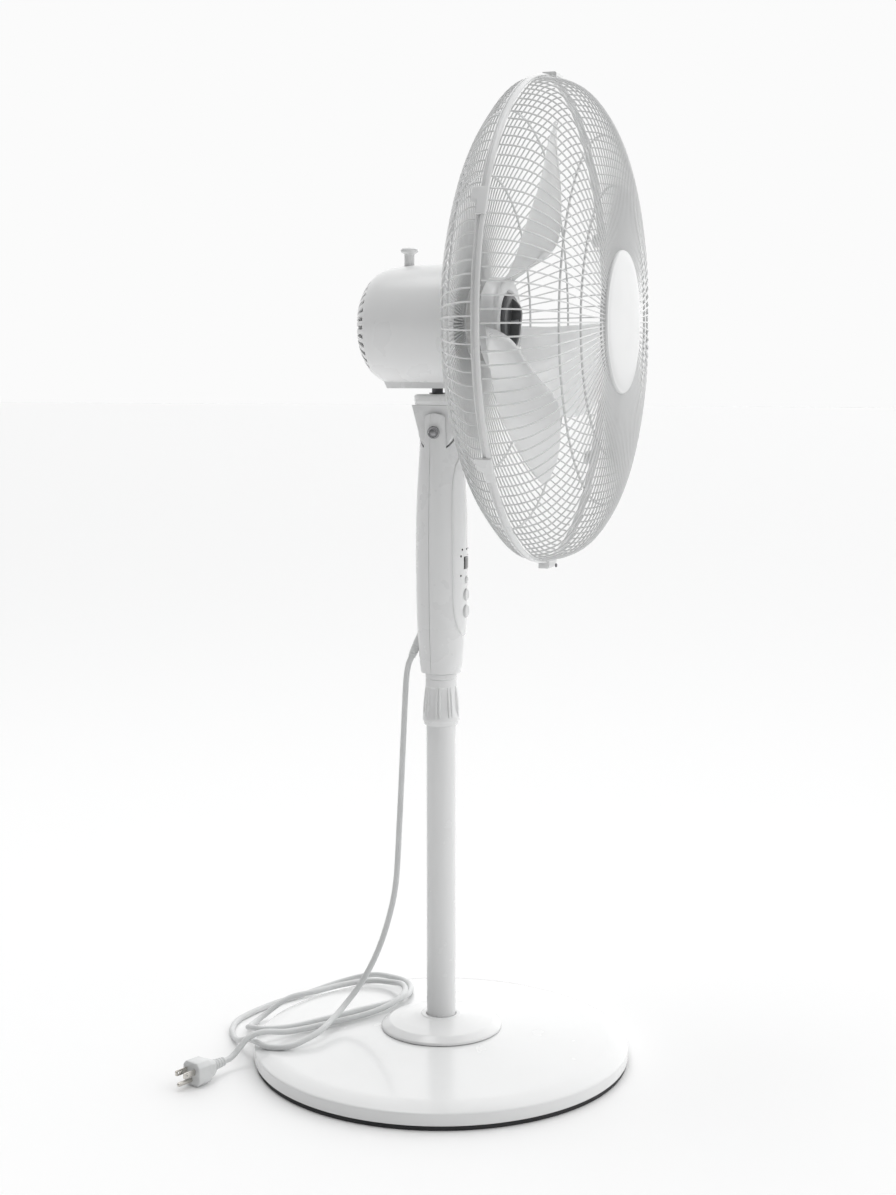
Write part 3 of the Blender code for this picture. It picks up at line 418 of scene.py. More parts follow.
def to_mesh(shape, name="shape"):
    mesh = bpy.data.meshes.new(name)
    mesh.from_pydata([tuple(corner) for corner in shape[0]], [], shape[1])
    closed = bmesh.new()
    closed.from_mesh(mesh)
    bmesh.ops.recalc_face_normals(closed, faces=closed.faces)
    closed.to_mesh(mesh)
    closed.free()
    return mesh


def changed(shape, *changes):
    """The shape after some modifiers, each given as its kind and its settings."""
    item = bpy.data.objects.new("work", to_mesh(shape))
    bpy.context.collection.objects.link(item)
    tools = []
    for kind, settings in changes:
        modifier = item.modifiers.new(kind, kind)
        for key, value in settings.items():
            if key == "object":
                tools.append(bpy.data.objects.new("tool", to_mesh(value)))
                bpy.context.collection.objects.link(tools[-1])
                value = tools[-1]
            setattr(modifier, key, value)
    bpy.context.view_layer.update()
    mesh = item.evaluated_get(bpy.context.evaluated_depsgraph_get()).to_mesh()
    result = [v.co.copy() for v in mesh.vertices], [tuple(f.vertices) for f in mesh.polygons]
    for used in [item, *tools]:
        bpy.data.objects.remove(used)
    return result


def minus(tool):
    return "BOOLEAN", {"operation": "DIFFERENCE", "solver": "EXACT", "object": tool}


def only(tool):
    return "BOOLEAN", {"operation": "INTERSECT", "solver": "EXACT", "object": tool}


def edged(width, segments=2, angle=35):
    return "BEVEL", {"width": width, "segments": segments, "limit_method": "ANGLE",
                     "angle_limit": math.radians(angle), "use_clamp_overlap": True}


print("modifier helpers: minus, only, edged")

# %% [markdown]
# ## From shape to piece
# Each piece names the body it rides on, its finish, and the plain solids it stands for. Doing this in one
# function means that no piece is left floating when the fan moves.

# %% Make one piece
def piece(name, shape, body, material, stands_for=(), sharp=35):
    mesh = to_mesh(shape, name)
    mesh.shade_smooth()
    mesh.set_sharp_from_angle(angle=math.radians(sharp))
    mesh.materials.append(material)
    item = bpy.data.objects.new(name, mesh)
    bpy.context.collection.objects.link(item)
    if body:
        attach(item, body)
    if stands_for:
        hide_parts(*stands_for)
    return item


def size_of(node):
    low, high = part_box(node)
    return high - low


def middle_of(node):
    low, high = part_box(node)
    return (low + high) / 2


print("base is", round(size_of("base_shell").x, 3), "m across")

# %% [markdown]
# ## Mains cord
# A flexible lead leaves the back of the column through a tapered sleeve, drops behind the pole, and lies in
# two loose loops on the base and the floor before its plug. The route is a short list of points that a hand
# could place; a smooth curve through them gives the real length. A mesh tube is swept along that curve.

# %% Route the cord
CORD_RADIUS = 0.00325
CORD_ROUTE = (
    (0.000, 0.0341, 0.4480), (0.000, 0.0360, 0.4439), (0.000, 0.0382, 0.4370), (0.000, 0.0402, 0.4240),
    (0.000, 0.0415, 0.4040), (0.000, 0.0440, 0.355), (0.001, 0.0490, 0.264), (0.000, 0.0530, 0.196),
    (0.000, 0.0610, 0.155), (0.000, 0.0750, 0.113), (-0.004, 0.0930, 0.076), (-0.022, 0.1070, 0.053),
    (-0.046, 0.1120, 0.0445), (-0.070, 0.1150, 0.0405), (-0.088, 0.1240, 0.0355), (-0.103, 0.1390, 0.0305),
    (-0.103, 0.1640, 0.0270), (-0.080, 0.1960, 0.0235), (-0.056, 0.2200, 0.0110), (-0.033, 0.2380, 0.0042),
    (-0.007, 0.2530, 0.0036), (0.028, 0.2580, 0.0036), (0.081, 0.2440, 0.0036), (0.128, 0.2180, 0.0050),
    (0.158, 0.1840, 0.0140), (0.163, 0.1460, 0.0250), (0.149, 0.1090, 0.0295), (0.122, 0.0820, 0.0338),
    (0.082, 0.0680, 0.0374), (0.046, 0.0740, 0.0385), (0.013, 0.0990, 0.0375), (-0.020, 0.1290, 0.0345),
    (-0.046, 0.1620, 0.0300), (-0.052, 0.1920, 0.0260), (-0.034, 0.2180, 0.0190), (0.000, 0.2340, 0.0060),
    (0.032, 0.2330, 0.0065), (0.056, 0.2110, 0.0230), (0.082, 0.1850, 0.0265), (0.110, 0.1610, 0.0285),
    (0.126, 0.1330, 0.0310), (0.118, 0.1040, 0.0350), (0.086, 0.0770, 0.0450), (0.054, 0.0640, 0.0465),
    (0.026, 0.0700, 0.0425), (-0.002, 0.0880, 0.0385), (-0.038, 0.1230, 0.0350), (-0.066, 0.1550, 0.0325),
    (-0.086, 0.1760, 0.0365), (-0.098, 0.1890, 0.0330), (-0.106, 0.1960, 0.0240), (-0.1130, 0.2005, 0.0170),
    (-0.1195, 0.2034, 0.0142), (-0.1257, 0.2058, 0.0140))


def cord_line(steps=8):
    """The route on a smooth curve, with its first and last stretches straight."""
    route = [Vector(point) for point in CORD_ROUTE]
    return [route[0]] + smooth_line(route, steps)[steps:-steps] + [route[-1]]


def line_length(line):
    return sum((two - one).length for one, two in zip(line, line[1:]))


cord_path = cord_line()
cord_length = line_length(cord_path)
cord_tube = sweep(cord_path, CORD_RADIUS, 16)
cord = piece("mains_cord", cord_tube, None, cord_sheath, ("power_cord",))
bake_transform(cord)
print("cord length", round(cord_length, 4), "m")

# %% [markdown]
# ## Plug
# The lead ends in a moulded plug: a ribbed, flexible relief, a faceted body that widens to a grip and a
# face plate, two flat blades and a round earth pin. Each is modelled pointing along -Y and then turned with
# one matrix.

# %% Shape the plug
PLUG_TURN = math.atan2(-0.930, -0.360)
PLUG_PLACE = Matrix.Translation((-0.1259, 0.2059, 0.0140)) @ Matrix.Rotation(PLUG_TURN, 4, "Z")
BLADE_GAP = 0.0063
BLADE_LIFT, PIN_DROP = 0.0035, -0.0065


def relief_shape():
    outline = [(0.0, 0.0003), (0.0042, 0.0003)]
    for k in range(4):
        low, wide = 0.0003 + 0.004 * k, 0.0048 + 0.0004 * k
        outline += [(wide, low + 0.0008), (wide, low + 0.0026), (wide - 0.0011, low + 0.0030),
                    (wide - 0.0011, low + 0.0040)]
    outline += [(0.0060, 0.0170), (0.0, 0.0170)]
    return revolve(softened(outline, 0.0004), 32, "ahead")


def plug_section(place, wide, tall, cut=0.35):
    corners = [(1, cut - 1), (1, 1 - cut), (1 - cut, 1), (cut - 1, 1), (-1, 1 - cut), (-1, cut - 1),
               (cut - 1, -1), (1 - cut, -1)]
    return [(wide * u, -place, tall * v) for u, v in corners]


def plug_shape():
    sections = ((0.0173, 0.0068, 0.0068), (0.0190, 0.0078, 0.0076), (0.0232, 0.0104, 0.0090),
                (0.0286, 0.0108, 0.0099), (0.0292, 0.0126, 0.0122), (0.0300, 0.0128, 0.0125),
                (0.0470, 0.0130, 0.0128), (0.0480, 0.0121, 0.0119))
    return changed(loft([plug_section(*section) for section in sections]), edged(0.0007, 3, 25))


def blade_shape(side):
    outline = [(-0.0483, -0.0032), (-0.0625, -0.0032), (-0.0645, -0.0022), (-0.0645, 0.0022),
               (-0.0625, 0.0032), (-0.0483, 0.0032)]
    low = [(side - 0.0008, y, z + BLADE_LIFT) for y, z in outline]
    high = [(side + 0.0008, y, z + BLADE_LIFT) for y, z in outline]
    hole = placed(rod(0.0014, -0.01, 0.01, 24, "across"), side, -0.0600, BLADE_LIFT)
    return changed(loft([low, high]), minus(hole), edged(0.0003, 2, 50))


def pin_shape():
    outline = ((0, 0.0483), (0.0024, 0.0483), (0.0024, 0.0650), (0.0020, 0.0664), (0.0012, 0.0673),
               (0, 0.0675))
    return placed(revolve(softened(outline, 0.0004), 32, "ahead"), 0, 0, PIN_DROP)


def plug_piece(name, shape, material, node):
    return piece(name, moved(shape, PLUG_PLACE), "base", material, (node,))


plug_pieces = [
    plug_piece("plug_relief", relief_shape(), plug_white, "plug_boot"),
    plug_piece("plug_grip", plug_shape(), plug_white, "plug_body"),
    plug_piece("plug_flat_left", blade_shape(-BLADE_GAP), pin_metal, "plug_blade_left"),
    plug_piece("plug_flat_right", blade_shape(BLADE_GAP), pin_metal, "plug_blade_right"),
    plug_piece("plug_round_pin", pin_shape(), pin_metal, "plug_earth_pin")]
print("plug pieces:", len(plug_pieces))

# %% [markdown]
# ## Base, foot ring and hub cover
# The weighted base is a shallow dome with a crisp step near its rim and a short straight edge, all high
# gloss. It stands on a black rubber ring that shows as a dark line. These are turned pieces, so one outline
# each is enough.

# %% Turn the base
RIM = size_of("base_shell").x / 2
CROWN_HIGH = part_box("base_shell")[1].z
COVER = size_of("hub_cover").x / 2
POLE = size_of("lower_tube").x / 2
PLATEAU, PLATEAU_HIGH = RIM * 0.928, 0.0246
FOOT_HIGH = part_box("foot_ring")[1].z


def base_shape():
    dome = []
    for k in range(15):
        share = k / 14
        radius = COVER + (PLATEAU - COVER) * share
        dome.append((radius, CROWN_HIGH - (CROWN_HIGH - PLATEAU_HIGH) * share ** 1.10))
    edge = softened([(PLATEAU, PLATEAU_HIGH), (RIM - 0.0010, 0.0190), (RIM, 0.0178),
                     (RIM, 0.0062), (RIM - 0.0008, FOOT_HIGH + 0.0003)], 0.0008, 3, False)
    inside = [(RIM - 0.0030, FOOT_HIGH + 0.0003), (RIM - 0.0030, 0.0150), (PLATEAU, PLATEAU_HIGH - 0.003),
              (0.150, 0.0255), (POLE + 0.012, 0.0315), (POLE + 0.012, CROWN_HIGH)]
    return revolve(dome[:-1] + edge + inside, 192)


def foot_shape():
    outer = RIM - 0.0012
    outline = [(outer - 0.0125, 0.0), (outer - 0.001, 0.0), (outer, 0.0012), (outer, FOOT_HIGH),
               (outer - 0.0125, FOOT_HIGH)]
    return revolve(softened(outline, 0.0006), 160)


def cover_shape():
    bore = POLE + 0.0006
    top = [(bore, 0.0500), (0.0215, 0.0500), (0.0225, 0.0490), (0.030, 0.0478), (0.045, 0.0458),
           (0.0575, 0.0436), (COVER - 0.0010, 0.0384), (COVER, CROWN_HIGH + 0.0007)]
    under = [(COVER - 0.006, CROWN_HIGH + 0.0007), (0.057, 0.0405), (0.030, 0.0455), (bore, 0.0474)]
    return revolve(softened(top + under, 0.0012, 4), 128)


piece("base_dome", base_shape(), "base", gloss_white, ("base_shell",))
piece("rubber_foot", foot_shape(), "base", foot_rubber, ("foot_ring",))
piece("pole_cover", cover_shape(), "base", gloss_white, ("hub_cover",))
print("base radius", round(RIM, 3), "foot height", FOOT_HIGH)

# %% [markdown]
# ## Pole and clamping collar
# The lower tube is powder coated steel. On its top sits a clamping nut: a plain band, a ring of scooped
# flutes for the fingers, and a thin lip. A flute is a run of columns whose radius is lowered by a depth that
# fades with height, and a shallower groove marks the rib between two flutes.

# %% Turn the pole and the collar
COLLAR_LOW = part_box("collar_nut")[0].z
COLLAR_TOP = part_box("column_front_shell")[0].z - 0.0012
PANELS = 8                                # flutes round the collar
COLUMNS = 24                              # columns of corners for each flute and its rib
RIB_COLUMNS = 8                           # the columns up to this one make the rib
RIB_GROOVE = (4, 5)
COLLAR_BORE = 0.0161


def pole_shape():
    low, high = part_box("lower_tube")[0].z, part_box("lower_tube")[1].z
    outline = [(POLE - 0.0012, low), (POLE, low), (POLE, high), (POLE - 0.0012, high)]
    return revolve(softened(outline, 0.0004), 96)


def collar_shape():
    rise = [(0.0, 0.0180), (0.0006, 0.0186), (0.0040, 0.0190), (0.0046, 0.0193), (0.0048, 0.0199),
            (0.0080, 0.0200), (0.0086, 0.0198), (0.0090, 0.0197), (0.0180, 0.0195), (0.0260, 0.0189),
            (0.0340, 0.0180), (0.0400, 0.0172), (0.0424, 0.0170), (0.0430, 0.0170), (0.0500, 0.0168),
            (0.0504, 0.0163), (0.0512, 0.0163), (0.0516, 0.0170),
            (COLLAR_TOP - COLLAR_LOW - 0.0006, 0.0171), (COLLAR_TOP - COLLAR_LOW, 0.0165)]
    loops, steps = [], PANELS * COLUMNS
    for height, radius in rise:
        share = (height - 0.0090) / 0.0334
        scoop = 0.0028 * (1 - 0.45 * share) if 0 < share < 0.98 else 0.0
        loop = []
        for k in range(steps):
            angle = 2 * math.pi * k / steps
            column = k % COLUMNS
            dip = scoop if column > RIB_COLUMNS else scoop * 0.7 if column in RIB_GROOVE else 0.0
            reach = radius - dip
            loop.append((reach * math.cos(angle), reach * math.sin(angle), COLLAR_LOW + height))
        loops.append(loop)
    turns = [2 * math.pi * k / steps for k in range(steps)]
    bore = [[(COLLAR_BORE * math.cos(turn), COLLAR_BORE * math.sin(turn), z) for turn in turns]
            for z in (COLLAR_TOP - 0.0004, COLLAR_LOW)]
    return loft(loops + bore, True)


piece("pole", pole_shape(), "base", tube_white, ("lower_tube",))
piece("clamping_collar", collar_shape(), "collar", shell_white, ("collar_nut",), 30)
print("collar from", round(COLLAR_LOW, 3), "to", round(COLLAR_TOP, 3))

# %% [markdown]
# ## Column shells
# The control column is two shells that meet in a long seam at each side. Its width and depth change slowly
# with height, so the sections are joined by a smooth curve. The tops are trimmed to two round ears, and a
# slot between them takes the tilting neck. Booleans do the trimming, because the ears are flat cuts through
# curved walls.

# %% Loft and trim the column
COLUMN_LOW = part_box("column_front_shell")[0].z
TILT_Z = middle_of("tilt_bolt").z
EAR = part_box("column_front_shell")[1].z - TILT_Z
SECTIONS = ((COLUMN_LOW, 0.0213, 0.0213), (COLUMN_LOW + 0.0010, 0.0219, 0.0219), (0.452, 0.0225, 0.0240),
            (0.490, 0.0245, 0.0262), (0.550, 0.0255, 0.0272), (0.603, 0.0255, 0.0268),
            (0.640, 0.0250, 0.0250),
            (0.680, 0.0240, 0.0225), (0.715, 0.0235, 0.0215))
WALL = 0.0026
SEAM_TURN = 10.7                          # degrees; the seam lies a little behind the column's middle
SEAM_GAP = 1.0


def column_sections():
    return smooth_line(SECTIONS, 5)


def column_size(height):
    """Half width and half depth of the column at a height."""
    lines = column_sections()
    for low, high in zip(lines, lines[1:]):
        if low.x <= height <= high.x:
            share = (height - low.x) / max(high.x - low.x, 1e-9)
            return low.y + (high.y - low.y) * share, low.z + (high.z - low.z) * share
    return lines[-1].y, lines[-1].z


def shell_shape(start, end, steps=56):
    loops = []
    for height, wide, deep in column_sections():
        outer, inner = [], []
        for k in range(steps + 1):
            angle = math.radians(start + (end - start) * k / steps)
            u, v = math.cos(angle), math.sin(angle)
            outer.append((wide * u, deep * v, height))
            inner.append(((wide - WALL) * u, (deep - WALL) * v, height))
        loops.append(outer + inner[::-1])
    return loft(loops)


def slab(outline, low, high):
    """An outline in Y and Z, extruded along X."""
    return loft([[(low, y, z) for y, z in outline], [(high, y, z) for y, z in outline]])


def ear_keeper():
    outline = [(-0.05, 0.40), (0.05, 0.40), (0.05, 0.660), (0.0245, 0.674), (0.0212, 0.684)]
    for k in range(33):
        angle = math.pi * k / 32
        outline.append((EAR * math.cos(angle), TILT_Z + EAR * math.sin(angle)))
    outline += [(-0.0212, 0.684), (-0.0245, 0.674), (-0.05, 0.660)]
    return slab(outline, -0.04, 0.04)


neck_slot = slab(((-0.05, 0.6890), (0.05, 0.6890), (0.05, 0.74), (-0.05, 0.74)), -0.0200, 0.0200)
neck_room = moved(revolve(((0, -0.0200), (0.0209, -0.0200), (0.0209, 0.0200), (0, 0.0200)), 96, "across"),
                  Matrix.Translation((0, 0, TILT_Z)))
bolt_hole = moved(revolve(((0, -0.04), (0.0044, -0.04), (0.0044, 0.04), (0, 0.04)), 48, "across"),
                  Matrix.Translation((0, 0, TILT_Z)))
trims = (only(ear_keeper()), minus(neck_slot), minus(neck_room), minus(bolt_hole), edged(0.0005, 3, 40))
cord_hole = moved(revolve(((0, -0.02), (0.0054, -0.02), (0.0054, 0.02), (0, 0.02)), 48, "ahead"),
                  Matrix.Translation((0, 0.0238, 0.470)) @ Matrix.Rotation(math.radians(115), 4, "X"))
rear_shell = changed(shell_shape(SEAM_TURN + SEAM_GAP, 180 - SEAM_TURN - SEAM_GAP), minus(cord_hole), *trims)
front_shell = changed(shell_shape(180 - SEAM_TURN, 360 + SEAM_TURN, 88), *trims)
piece("column_back", rear_shell, "column", shell_white, ("column_rear_shell",), 30)
piece("column_face", front_shell, "column", shell_white, ("column_front_shell",), 30)
print("column shells:", len(rear_shell[1]), "and", len(front_shell[1]), "faces")

# %% [markdown]
# ## Control panel
# A long oval plate lies on the column's face, a hair proud of it, with a dark display window, five small
# indicator lights round it, a small key and two larger keys below, and a drop-shaped receiver lens near the
# top. The plate is a grid that follows the column and sinks towards its own edge, so it reads as a fitted
# part.

# %% Press the panel over the column
PANEL_LOW, PANEL_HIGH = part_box("control_panel")[0].z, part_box("control_panel")[1].z
PANEL_TURN = math.radians(46)             # half the angle that the plate covers
PANEL_PROUD = 0.0016


def on_column(turn, height, proud):
    """A point on the column's face, turned from its middle line and lifted off it."""
    wide, deep = column_size(height)
    return Vector(((wide + proud) * math.sin(turn), -(deep + proud) * math.cos(turn), height))


def panel_shape(rows=64, columns=24):
    top, under = [], []
    middle, half = (PANEL_LOW + PANEL_HIGH) / 2, (PANEL_HIGH - PANEL_LOW) / 2
    for j in range(rows + 1):
        along = math.sin(math.pi * (j / rows - 0.5))
        height = middle + half * along
        width = PANEL_TURN * (1 - abs(along) ** 5) ** 0.5 + 0.02
        for k in range(columns + 1):
            across = math.sin(math.pi * (k / columns - 0.5))
            edge = min(1.0, 9 * (1 - abs(across)), 30 * (1 - abs(along)))
            lift = -0.0004 + (PANEL_PROUD + 0.0004) * (1 - (1 - edge) ** 2) ** 0.5
            top.append(on_column(width * across, height, lift))
            under.append(on_column(width * across, height, -0.0008))
    size, count = columns + 1, len(top)
    faces = []
    for j in range(rows):
        for k in range(columns):
            a = j * size + k
            faces.append((a, a + 1, a + size + 1, a + size))
            faces.append((count + a, count + a + size, count + a + size + 1, count + a + 1))
    rim = ([k for k in range(size)] + [j * size + columns for j in range(1, rows + 1)]
           + [rows * size + k for k in range(columns - 1, -1, -1)]
           + [j * size for j in range(rows - 1, 0, -1)])
    for one, two in zip(rim, rim[1:] + rim[:1]):
        faces.append((one, two, count + two, count + one))
    return top + under, faces


def button_place(node):
    low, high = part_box(node)
    return Vector((0, 0, (low.z + high.z) / 2)), (high.z - low.z) / 2


def socket_cut(place, radius):
    hole = revolve(((0, 0.015), (radius, 0.015), (radius, 0.045), (0, 0.045)), 48, "ahead")
    return minus(moved(hole, Matrix.Translation(place)))


def window_cut():
    low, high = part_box("display_window")
    low, high = low - Vector((0.0003, 0, 0.0003)), high + Vector((0.0003, 0, 0.0003))
    return slab(((-0.05, low.z), (-0.018, low.z), (-0.018, high.z), (-0.05, high.z)), low.x, high.x)


lens_place = middle_of("remote_lens")
cuts = [minus(window_cut()), socket_cut(Vector((0, 0, lens_place.z)), 0.0042)]
for node in ("power_button", "speed_button", "timer_button"):
    place, radius = button_place(node)
    cuts.append(socket_cut(place, radius + 0.0005))
panel = changed(panel_shape(), *cuts)
piece("control_plate", panel, "column", panel_white, ("control_panel",), 25)
print("panel faces:", len(panel[1]))

# %% Add the window, lights, lens and keys
def window_shape():
    low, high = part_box("display_window")
    depth = column_size((low.z + high.z) / 2)[1] + PANEL_PROUD
    outline = [(low.x, low.z), (high.x, low.z), (high.x, high.z), (low.x, high.z)]
    loops = [[(x, y, z) for x, z in outline] for y in (high.y, -depth - 0.0002)]
    return changed(loft(loops), edged(0.0007, 3))


def light_shape(turn, height):
    dome = [(0, -0.0012), (0.0012, -0.0012), (0.0012, 0.0001), (0.0008, 0.0005), (0, 0.0006)]
    point = on_column(turn, height, PANEL_PROUD)
    spin = Matrix.Rotation(turn, 4, "Z")
    return moved(revolve(dome, 16, "ahead"), Matrix.Translation(point) @ spin)


def lens_shape():
    loops = []
    tilt = column_size(lens_place.z)[1]
    for proud, share in ((-0.006, 1.0), (0.0004, 1.0), (0.0016, 0.86), (0.0020, 0.55), (0.0021, 0.10)):
        loop = []
        for k in range(40):
            angle = 2 * math.pi * k / 40
            point = 1 + 0.35 * max(math.sin(angle), 0) ** 3
            loop.append((0.0034 * share * math.cos(angle) * (1.12 - 0.12 * point),
                         -tilt - proud, lens_place.z - 0.0006 + 0.0036 * share * math.sin(angle) * point))
        loops.append(loop)
    return loft(loops)


def key_shape(node):
    place, radius = button_place(node)
    low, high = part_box(node)
    front, back = -low.y, -high.y
    outline = [(0, back), (radius, back), (radius, front - 0.0009), (radius - 0.0007, front - 0.0002),
               (radius * 0.6, front - 0.0004), (0, front - 0.0006)]
    return moved(revolve(softened(outline, 0.0003), 48, "ahead"), Matrix.Translation(place))


piece("display_glass", window_shape(), "column", window_black, ("display_window",))
lights = [light_shape(turn, height) for turn, height in
          ((-0.34, 0.5680), (0.0, 0.5680), (0.34, 0.5680), (-0.42, 0.5610), (0.42, 0.5610), (-0.42, 0.5400))]
piece("indicator_lights", joined(lights), "column", window_black)
piece("receiver_lens", lens_shape(), "column", lens_grey, ("remote_lens",))
for node in ("power_button", "speed_button", "timer_button"):
    piece(node.replace("button", "key"), key_shape(node), node, key_white, (node,))
print("keys and lights on the panel:", 3 + len(lights))

# %% [markdown]
# ## Tilt joint and neck
# The neck is a flat tongue between the column's ears that widens into a round cap. A bolt crosses the ears:
# a domed cap in a raised ring at one side, a nut at the other. The cap has a shallow skirt with a lip, as
# moulded.

# %% Build the neck, its bolt and the cord sleeve
CAP = size_of("neck_cap").x / 2
CAP_LOW, CAP_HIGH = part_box("neck_cap")[0].z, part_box("neck_cap")[1].z
TONGUE = size_of("tilt_bracket").x / 2
PIVOT = middle_of("pivot_shaft")
TONGUE_END = 0.0192


def tongue_shape():
    outline = [(CAP - 0.0015, CAP_LOW - 0.0003), (-CAP + 0.0015, CAP_LOW - 0.0003)]
    for k in range(25):
        angle = math.radians(180 + 180 * k / 24)
        outline.append((TONGUE_END * math.cos(angle), TILT_Z + TONGUE_END * math.sin(angle)))
    socket = moved(revolve(((0, 0.7005), (0.0093, 0.7005), (0.0093, 0.74), (0, 0.74)), 48),
                   Matrix.Translation((0, PIVOT.y, 0)))
    return changed(slab(outline, -TONGUE, TONGUE), minus(bolt_hole), minus(socket), edged(0.0010, 3))


def cap_shape():
    bore = 0.0093
    outline = [(0.0, CAP_LOW), (CAP - 0.0008, CAP_LOW), (CAP - 0.0006, CAP_LOW + 0.0030),
               (CAP, CAP_LOW + 0.0034),
               (CAP, CAP_HIGH - 0.0020), (CAP - 0.0018, CAP_HIGH), (0.0, CAP_HIGH)]
    hole = placed(rod(bore, 0.71, 0.75, 64), 0, PIVOT.y, 0)
    return changed(revolve(softened(outline, 0.0006), 128), minus(hole))


def bolt_shape():
    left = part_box("tilt_bolt")[0].x
    seat = -0.0240 - 0.0003
    outline = [(0.0, left - 0.0002), (0.0030, left), (0.0036, left + 0.0006), (0.0040, left + 0.0011),
               (0.0048, left + 0.0010), (0.0054, left + 0.0002), (0.0064, left + 0.0004),
               (0.0068, seat - 0.0004),
               (0.0068, seat), (0.0040, seat), (0.0040, 0.0255), (0.0, 0.0255)]
    return moved(revolve(softened(outline, 0.0003), 64, "across"), Matrix.Translation((0, 0, TILT_Z)))


NUT = 0.0068                              # from the nut's middle to a corner


def nut_shape():
    low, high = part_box("tilt_nut")[0].x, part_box("tilt_nut")[1].x
    hexagon = []
    for x, share in ((low, 1.0), (high - 0.0006, 1.0), (high, 0.92)):
        reach = NUT * share
        hexagon.append([(x, reach * math.cos(math.pi * k / 3), reach * math.sin(math.pi * k / 3))
                        for k in range(6)])
    bore = revolve(((0, 0.02), (0.00408, 0.02), (0.00408, 0.03), (0, 0.03)), 48, "across")
    return moved(changed(loft(hexagon), minus(bore), edged(0.0003)), Matrix.Translation((0, 0, TILT_Z)))


def sleeve_shape():
    """The cord's tapered sleeve, with shallow rings that let it flex."""
    inner = CORD_RADIUS + 0.0002
    outline = [(inner, -0.0060), (0.0050, -0.0060), (0.0050, 0.0060)]
    for k in range(5):
        low, wide = 0.0070 + 0.0030 * k, 0.0050 - 0.00016 * k
        outline += [(wide, low), (wide, low + 0.0018), (wide - 0.0006, low + 0.0022),
                    (wide - 0.0006, low + 0.0028)]
    outline += [(0.0042, 0.0230), (0.0040, 0.0240), (inner, 0.0240)]
    turn = Matrix.Translation((0, 0.0238, 0.470)) @ Matrix.Rotation(math.radians(115), 4, "X")
    return moved(revolve(softened(outline, 0.0003), 40, "ahead"), turn)


piece("neck_tongue", tongue_shape(), "neck", shell_white, ("tilt_bracket",))
piece("neck_top", cap_shape(), "neck", shell_white, ("neck_cap",), 30)
piece("tilt_bolt_cap", bolt_shape(), "column", bolt_grey, ("tilt_bolt",))
piece("tilt_hex_nut", nut_shape(), "column", bolt_grey, ("tilt_nut",))
piece("cord_sleeve", sleeve_shape(), "column", cord_sheath, ("cord_gland",))
print("neck cap radius", round(CAP, 4))

# %% [markdown]
# ## Motor housing
# A rounded shell closed at the back, with short radial slots round its crown that let the motor breathe,
# and a flat pad underneath where the swing gear hangs. The slots are real openings: the shell is a grid of
# cells, and the cells between two bars are left out. Its wall has thickness, so the slots have depth.

# %% Mould the motor housing
FAN = Vector((0, 0, middle_of("badge").z))
HOUSE = size_of("motor_cover").x / 2
HOUSE_Z = middle_of("motor_cover").z
HOUSE_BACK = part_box("motor_cover")[1].y
HOUSE_FRONT = -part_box("motor_cover")[0].y
SLOTS, PARTS = 36, 6                      # slots round the crown, and columns of cells for each
OPEN_FROM, OPEN_TO = 6, 17                # the bands of the crown that the slots cross
PAD_DOWN = 0.62                           # how far round from the bottom the flat pad reaches, as a sine


def house_line():
    back = 0.0011 - HOUSE_BACK
    side = smooth_line([(0.0045, back, 0), (0.0180, back + 0.0006, 0), (0.0300, back + 0.0026, 0),
                        (0.0400, back + 0.0062, 0), (0.0500, back + 0.0132, 0), (0.0570, back + 0.0222, 0),
                        (0.0610, back + 0.0350, 0), (0.0628, back + 0.0520, 0),
                        (HOUSE - 0.0014, -0.0100, 0), (HOUSE - 0.0011, HOUSE_FRONT, 0)], 4)
    return [point.to_2d() for point in side]


def padded(radius, ahead, angle):
    """Let the shell run down to a flat pad underneath, in front of a small step."""
    down = -math.sin(angle)
    if down < PAD_DOWN or ahead < PAD_BACK:
        return radius
    return min(PAD_DROP / down, radius * 1.12) if radius * down > PAD_DROP - 0.006 else radius


PAD_BACK, PAD_DROP = -0.0600, HOUSE - 0.0012


def house_shape(wall=0.0022):
    line, columns = house_line(), SLOTS * PARTS
    corners, faces, grids = [], [], []
    for lean in (wall / 2, -wall / 2):
        grid = []
        for k in range(columns):
            slot, part = divmod(k, PARTS)
            angle = 2 * math.pi * (slot + (0.0, 0.14, 0.30, 0.46, 0.60, 0.80)[part]) / SLOTS
            ring = []
            for j, point in enumerate(line):
                along = (line[min(j + 1, len(line) - 1)] - line[max(j - 1, 0)]).normalized()
                radius, ahead = point.x + along.y * lean, point.y - along.x * lean
                reach = radius + padded(point.x, ahead, angle) - point.x
                ring.append(len(corners))
                corners.append(Vector((reach * math.cos(angle), -ahead, HOUSE_Z + reach * math.sin(angle))))
            grid.append(ring)
        grids.append(grid)
    outer, inner = grids
    bands = len(line) - 1

    def solid(column, band):
        return not (column % PARTS in (0, 1, 2) and OPEN_FROM <= band <= OPEN_TO)

    for i in range(columns):
        n = (i + 1) % columns
        for j in range(bands):
            if not solid(i, j):
                continue
            for grid in grids:
                faces.append((grid[i][j], grid[n][j], grid[n][j + 1], grid[i][j + 1]))
            if j == 0 or not solid(i, j - 1):
                faces.append((outer[i][j], outer[n][j], inner[n][j], inner[i][j]))
            if j == bands - 1 or not solid(i, j + 1):
                faces.append((outer[i][j + 1], outer[n][j + 1], inner[n][j + 1], inner[i][j + 1]))
            if not solid((i - 1) % columns, j):
                faces.append((outer[i][j], outer[i][j + 1], inner[i][j + 1], inner[i][j]))
            if not solid(n, j):
                faces.append((outer[n][j], outer[n][j + 1], inner[n][j + 1], inner[n][j]))
    return corners, faces


def drill(x, y, radius, low, high):
    return minus(placed(rod(radius, low, high), x, y, 0))


